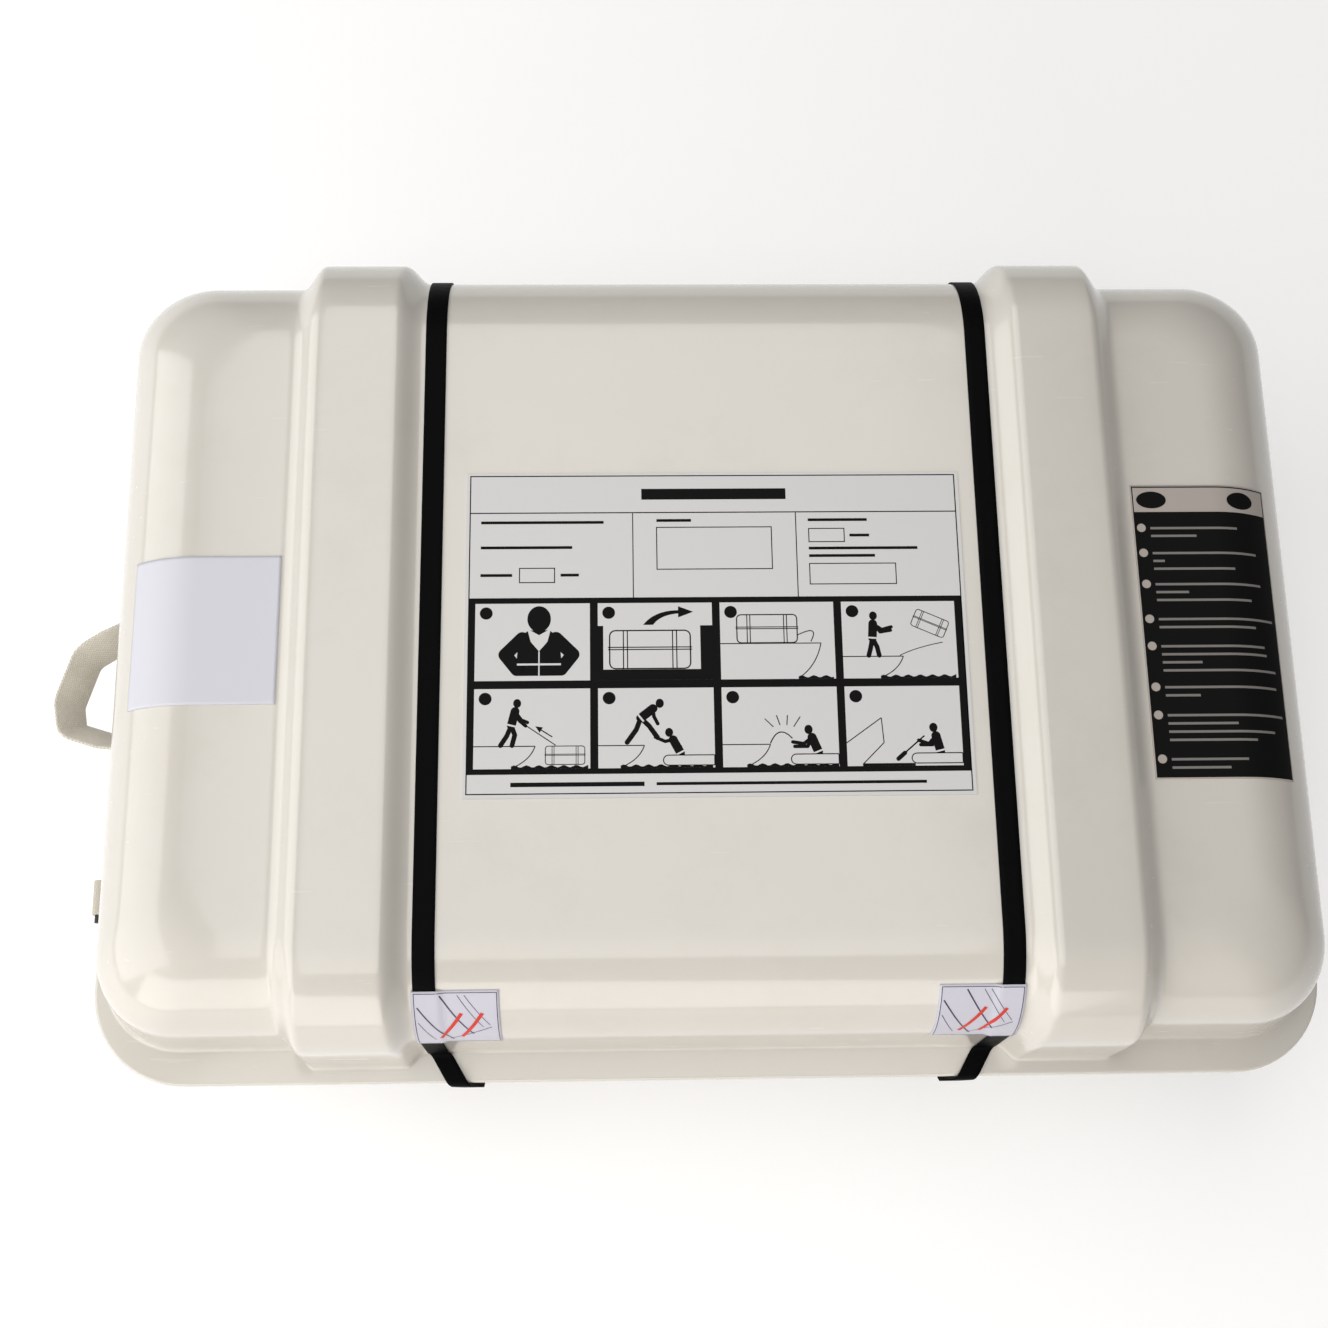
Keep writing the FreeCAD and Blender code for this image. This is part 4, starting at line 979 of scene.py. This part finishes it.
    ink.origin = (CELL_LEFT + 3 * CELL_PITCH, CELL_ROWS[1][0])
    ink.line([(0, 14), (21, 29), (22, 14), (9, 1)], 0.6)
    ink.box(9, 0, 40, 1.6, DARK, 3)
    draw_person(ink, 55, 9, 27, -14, (((0.08, -0.10), (0.10, -0.2)),),
                (((-0.16, -0.18), (-0.38, -0.10)), ((-0.08, -0.20), (-0.34, -0.20))))
    ink.line([(46, 18), (32, 6)], 0.9)
    ink.line([(34, 7.7), (30, 4.2)], 2.6, round_ends=True)
    draw_raft(ink, 38)
    ink.origin = (0.0, 0.0)


def print_instruction_plate():
    """Thin frame, bare head and foot, a row of empty boxes, and the panel of steps."""
    ink = Print(plate_surface)
    ink.frame(2.0, 2.2, 298.0, 199.8, 0.7)
    ink.box(2.0, 175.3, 298.0, 176.0, DARK)
    for x in (100.6, 199.6):
        ink.box(x - 0.3, 121.7, x + 0.3, 175.3, DARK)
    boxes = ((32.1, 131.1, 53.7, 140.7), (114.7, 139.1, 184.9, 166.4), (207.0, 156.1, 229.1, 165.2),
             (206.8, 129.2, 259.5, 142.8))
    for left, low, right, high in boxes:
        ink.frame(left, low, right, high, 0.6)
    bars = ((106, 187.5, 88, 7), (9, 169.5, 74, 1.8), (9, 153.5, 55, 1.8), (9, 136, 19, 1.8),
            (57, 136, 11, 1.8), (115, 170.5, 21, 1.8), (207, 170.5, 36, 1.8), (232, 160.5, 12, 1.8),
            (207, 152.3, 66, 1.8), (207, 147.5, 40, 1.8), (28, 8, 78, 2.6), (113, 8, 158, 1.8))
    for left, middle, length, high in bars:
        ink.box(left, middle - high / 2, left + length, middle + high / 2, DARK)
    draw_steps(ink)
    ink.finish("instruction_print", GREY_SHEET, BLACK_INK)


def print_text_label(surface, long, wide):
    """Light head with two dark ovals, then a dark field with dots and bars, light on dark."""
    ink = Print(surface, FINE_GRAIN)
    head = wide - 18.0
    ink.box(0.8, 0.8, long - 0.8, head, DARK)
    ink.frame(0.8, head, long - 0.8, wide - 0.8, 0.7)
    for x in (12.5, long - 20.0):
        ink.disc(x, wide - 9.5, 9.2, DARK, 2, 0.6)
    paragraphs = ((156.4, (54, 28)), (140.3, (66, 7, 50)), (120.4, (67, 20, 59)), (98.3, (74, 60)),
                  (81.3, (65, 66, 24, 72)), (55.9, (71, 21)), (38.7, (74, 42, 66, 53)), (12.0, (46, 35)))
    for middle, lengths in paragraphs:
        ink.disc(5.0, middle, 2.7, LIGHT, 2)
        for n, length in enumerate(lengths):
            low = middle - 1.0 - n * 5.0
            ink.box(10.5, low, 10.5 + length, low + 1.5, THIRD, 2)
    ink.finish("text_print", LIGHT_INK, BLACK_INK, DIM_INK)


def print_band_label(name, surface, wide, high):
    """Thin border, a few slanting lines and two short red bars."""
    ink = Print(surface, FINE_GRAIN, FINE_GRAIN)
    ink.frame(1.2, 1.2, wide - 1.2, high - 1.2, 0.5)
    strokes = ((3, 42, 22, 8, 0.9), (16, high - 3, 34, 16, 0.9), (26, high - 3, 40, 24, 0.4),
               (30, high - 3, 44, 26, 0.4), (3, 30, 12, 10, 0.4), (20, 9, 45, 24, 0.5))
    for x0, y0, x1, y1, thick in strokes:
        ink.line([(x0, y0), (x1, y1)], thick)
    for x in (15, 27):
        ink.line([(x, 12), (x + 13, high - 16)], 2.2, THIRD, 4)
    ink.finish(name, WHITE_SHEET, LINE_INK, RED_INK)


def make_labels():
    """The sheets that bend with the shells, and the print on them and on the flat one."""
    print_instruction_plate()
    low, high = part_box("right_end_label")
    surface = end_surface(low.x, low.y)
    long, wide = length_round_end(high.x) - low.x, high.y - low.y
    laid_sheet("right_end_label", surface, long, wide, PEARL_SHEET)
    print_text_label(surface, long / MM, wide / MM)
    low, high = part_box("left_end_label")
    long, wide = length_round_end(-low.x) + high.x, high.y - low.y
    laid_sheet("left_end_label", end_surface(high.x, low.y), long, wide, WHITE_SHEET)
    high = (edge_angle(BAND_LABEL_HIGH) - edge_angle(BAND_LABEL_LOW)) * EDGE_RADIUS
    for side, along in (("left", -1), ("right", 1)):
        surface = band_surface(along)
        laid_sheet(side + "_band_label", surface, BAND_LABEL_LONG, high, LILAC_SHEET,
                   BAND_LABEL_CELL)
        print_band_label(side + "_band_print", surface, BAND_LABEL_LONG / MM, high / MM)


make_labels()


# Camera, light and floor

CAMERA_PLACE = Vector((-57.92, -305.89, 1248.92)) * MM
CAMERA_ELEVATION = 1.30027
CAMERA_YAW = 0.101607
CAMERA_ROLL = 0.0907217
FOCAL_LENGTH = 47.66
SENSOR_WIDTH = 36

# Name, place, what it looks at, width, height, power and colour
LIGHTS = (
    ("left_window", (-2.2, 0.05, 1.25), (0, 0, 0.15), 3.0, 2.2, 43, (1, 0.99, 0.97)),
    ("ceiling_panel", (-0.1, 0.45, 2.5), (-0.1, 0.45, 0), 1.5, 3.6, 36, (1, 0.985, 0.97)),
    ("near_window", (-0.7, -2.3, 0.9), (0, 0, 0.12), 3.4, 1.6, 46, (1, 0.95, 0.91)),
)
ROOM_COLOUR = (1.0, 0.98, 0.96, 1)
ROOM_STRENGTH = 0.12
FLOOR_COLOUR = [0.66, 0.66, 0.66, 1]
FLOOR_GLOW = 0.4
FLOOR_HALF = 6.0


def make_camera():
    """The camera at the photograph's place, solved from the object's straight edges."""
    sin_yaw, cos_yaw = math.sin(CAMERA_YAW), math.cos(CAMERA_YAW)
    down = math.cos(CAMERA_ELEVATION)
    forward = Vector((sin_yaw * down, cos_yaw * down, -math.sin(CAMERA_ELEVATION)))
    level = Vector((cos_yaw, -sin_yaw, 0))
    up = level.cross(forward)
    right = level * math.cos(CAMERA_ROLL) + up * math.sin(CAMERA_ROLL)
    above = up * math.cos(CAMERA_ROLL) - level * math.sin(CAMERA_ROLL)
    turned = Matrix((right, above, -forward)).transposed().to_4x4()
    data = bpy.data.cameras.new("camera")
    data.lens = FOCAL_LENGTH
    data.sensor_width = SENSOR_WIDTH
    data.clip_start = 0.05
    camera = bpy.data.objects.new("camera", data)
    camera.matrix_world = Matrix.Translation(CAMERA_PLACE) @ turned
    bpy.context.scene.collection.objects.link(camera)
    bpy.context.scene.camera = camera


def area_light(name, place, target, width, height, power, colour):
    """A rectangular lamp turned towards its target."""
    data = bpy.data.lights.new(name, "AREA")
    data.shape = "RECTANGLE"
    data.size = width
    data.size_y = height
    data.energy = power
    data.color = colour
    light = bpy.data.objects.new(name, data)
    light.location = place
    light.rotation_mode = "QUATERNION"
    light.rotation_quaternion = (Vector(target) - Vector(place)).to_track_quat("-Z", "Y")
    bpy.context.scene.collection.objects.link(light)


def pale_floor():
    """A plain pale floor that looks lighter to the camera and in gloss, and keeps the shadow."""
    material, tree, shader = new_material("pale_floor")
    rays = tree.nodes.new("ShaderNodeLightPath").outputs
    seen = add_node(tree, "Math", {0: rays["Is Camera Ray"], 1: rays["Is Glossy Ray"]}, operation="ADD")
    seen = add_node(tree, "Math", {0: seen.outputs[0], 1: rays["Is Transmission Ray"]}, operation="ADD")
    seen = add_node(tree, "Math", {0: seen.outputs[0], 1: FLOOR_GLOW}, operation="MULTIPLY")
    set_shader(tree, shader, colour=FLOOR_COLOUR, rough=0.8)
    shader.inputs["Emission Color"].default_value = (1, 1, 1, 1)
    tree.links.new(seen.outputs[0], shader.inputs["Emission Strength"])
    return material


def make_surroundings():
    """The room's even light, the lamps and the floor."""
    world = bpy.data.worlds.new("room")
    world.use_nodes = True
    background = world.node_tree.nodes["Background"]
    background.inputs["Color"].default_value = ROOM_COLOUR
    background.inputs["Strength"].default_value = ROOM_STRENGTH
    bpy.context.scene.world = world
    bpy.context.scene.view_settings.view_transform = "Standard"
    for light in LIGHTS:
        area_light(*light)
    mesh = bpy.data.meshes.new("floor")
    far = FLOOR_HALF
    mesh.from_pydata([(-far, -far, 0), (far, -far, 0), (far, far, 0), (-far, far, 0)], [], [(0, 1, 2, 3)])
    mesh.materials.append(pale_floor())
    ground = bpy.data.objects.new("floor", mesh)
    bpy.context.scene.collection.objects.link(ground)


make_camera()
make_surroundings()
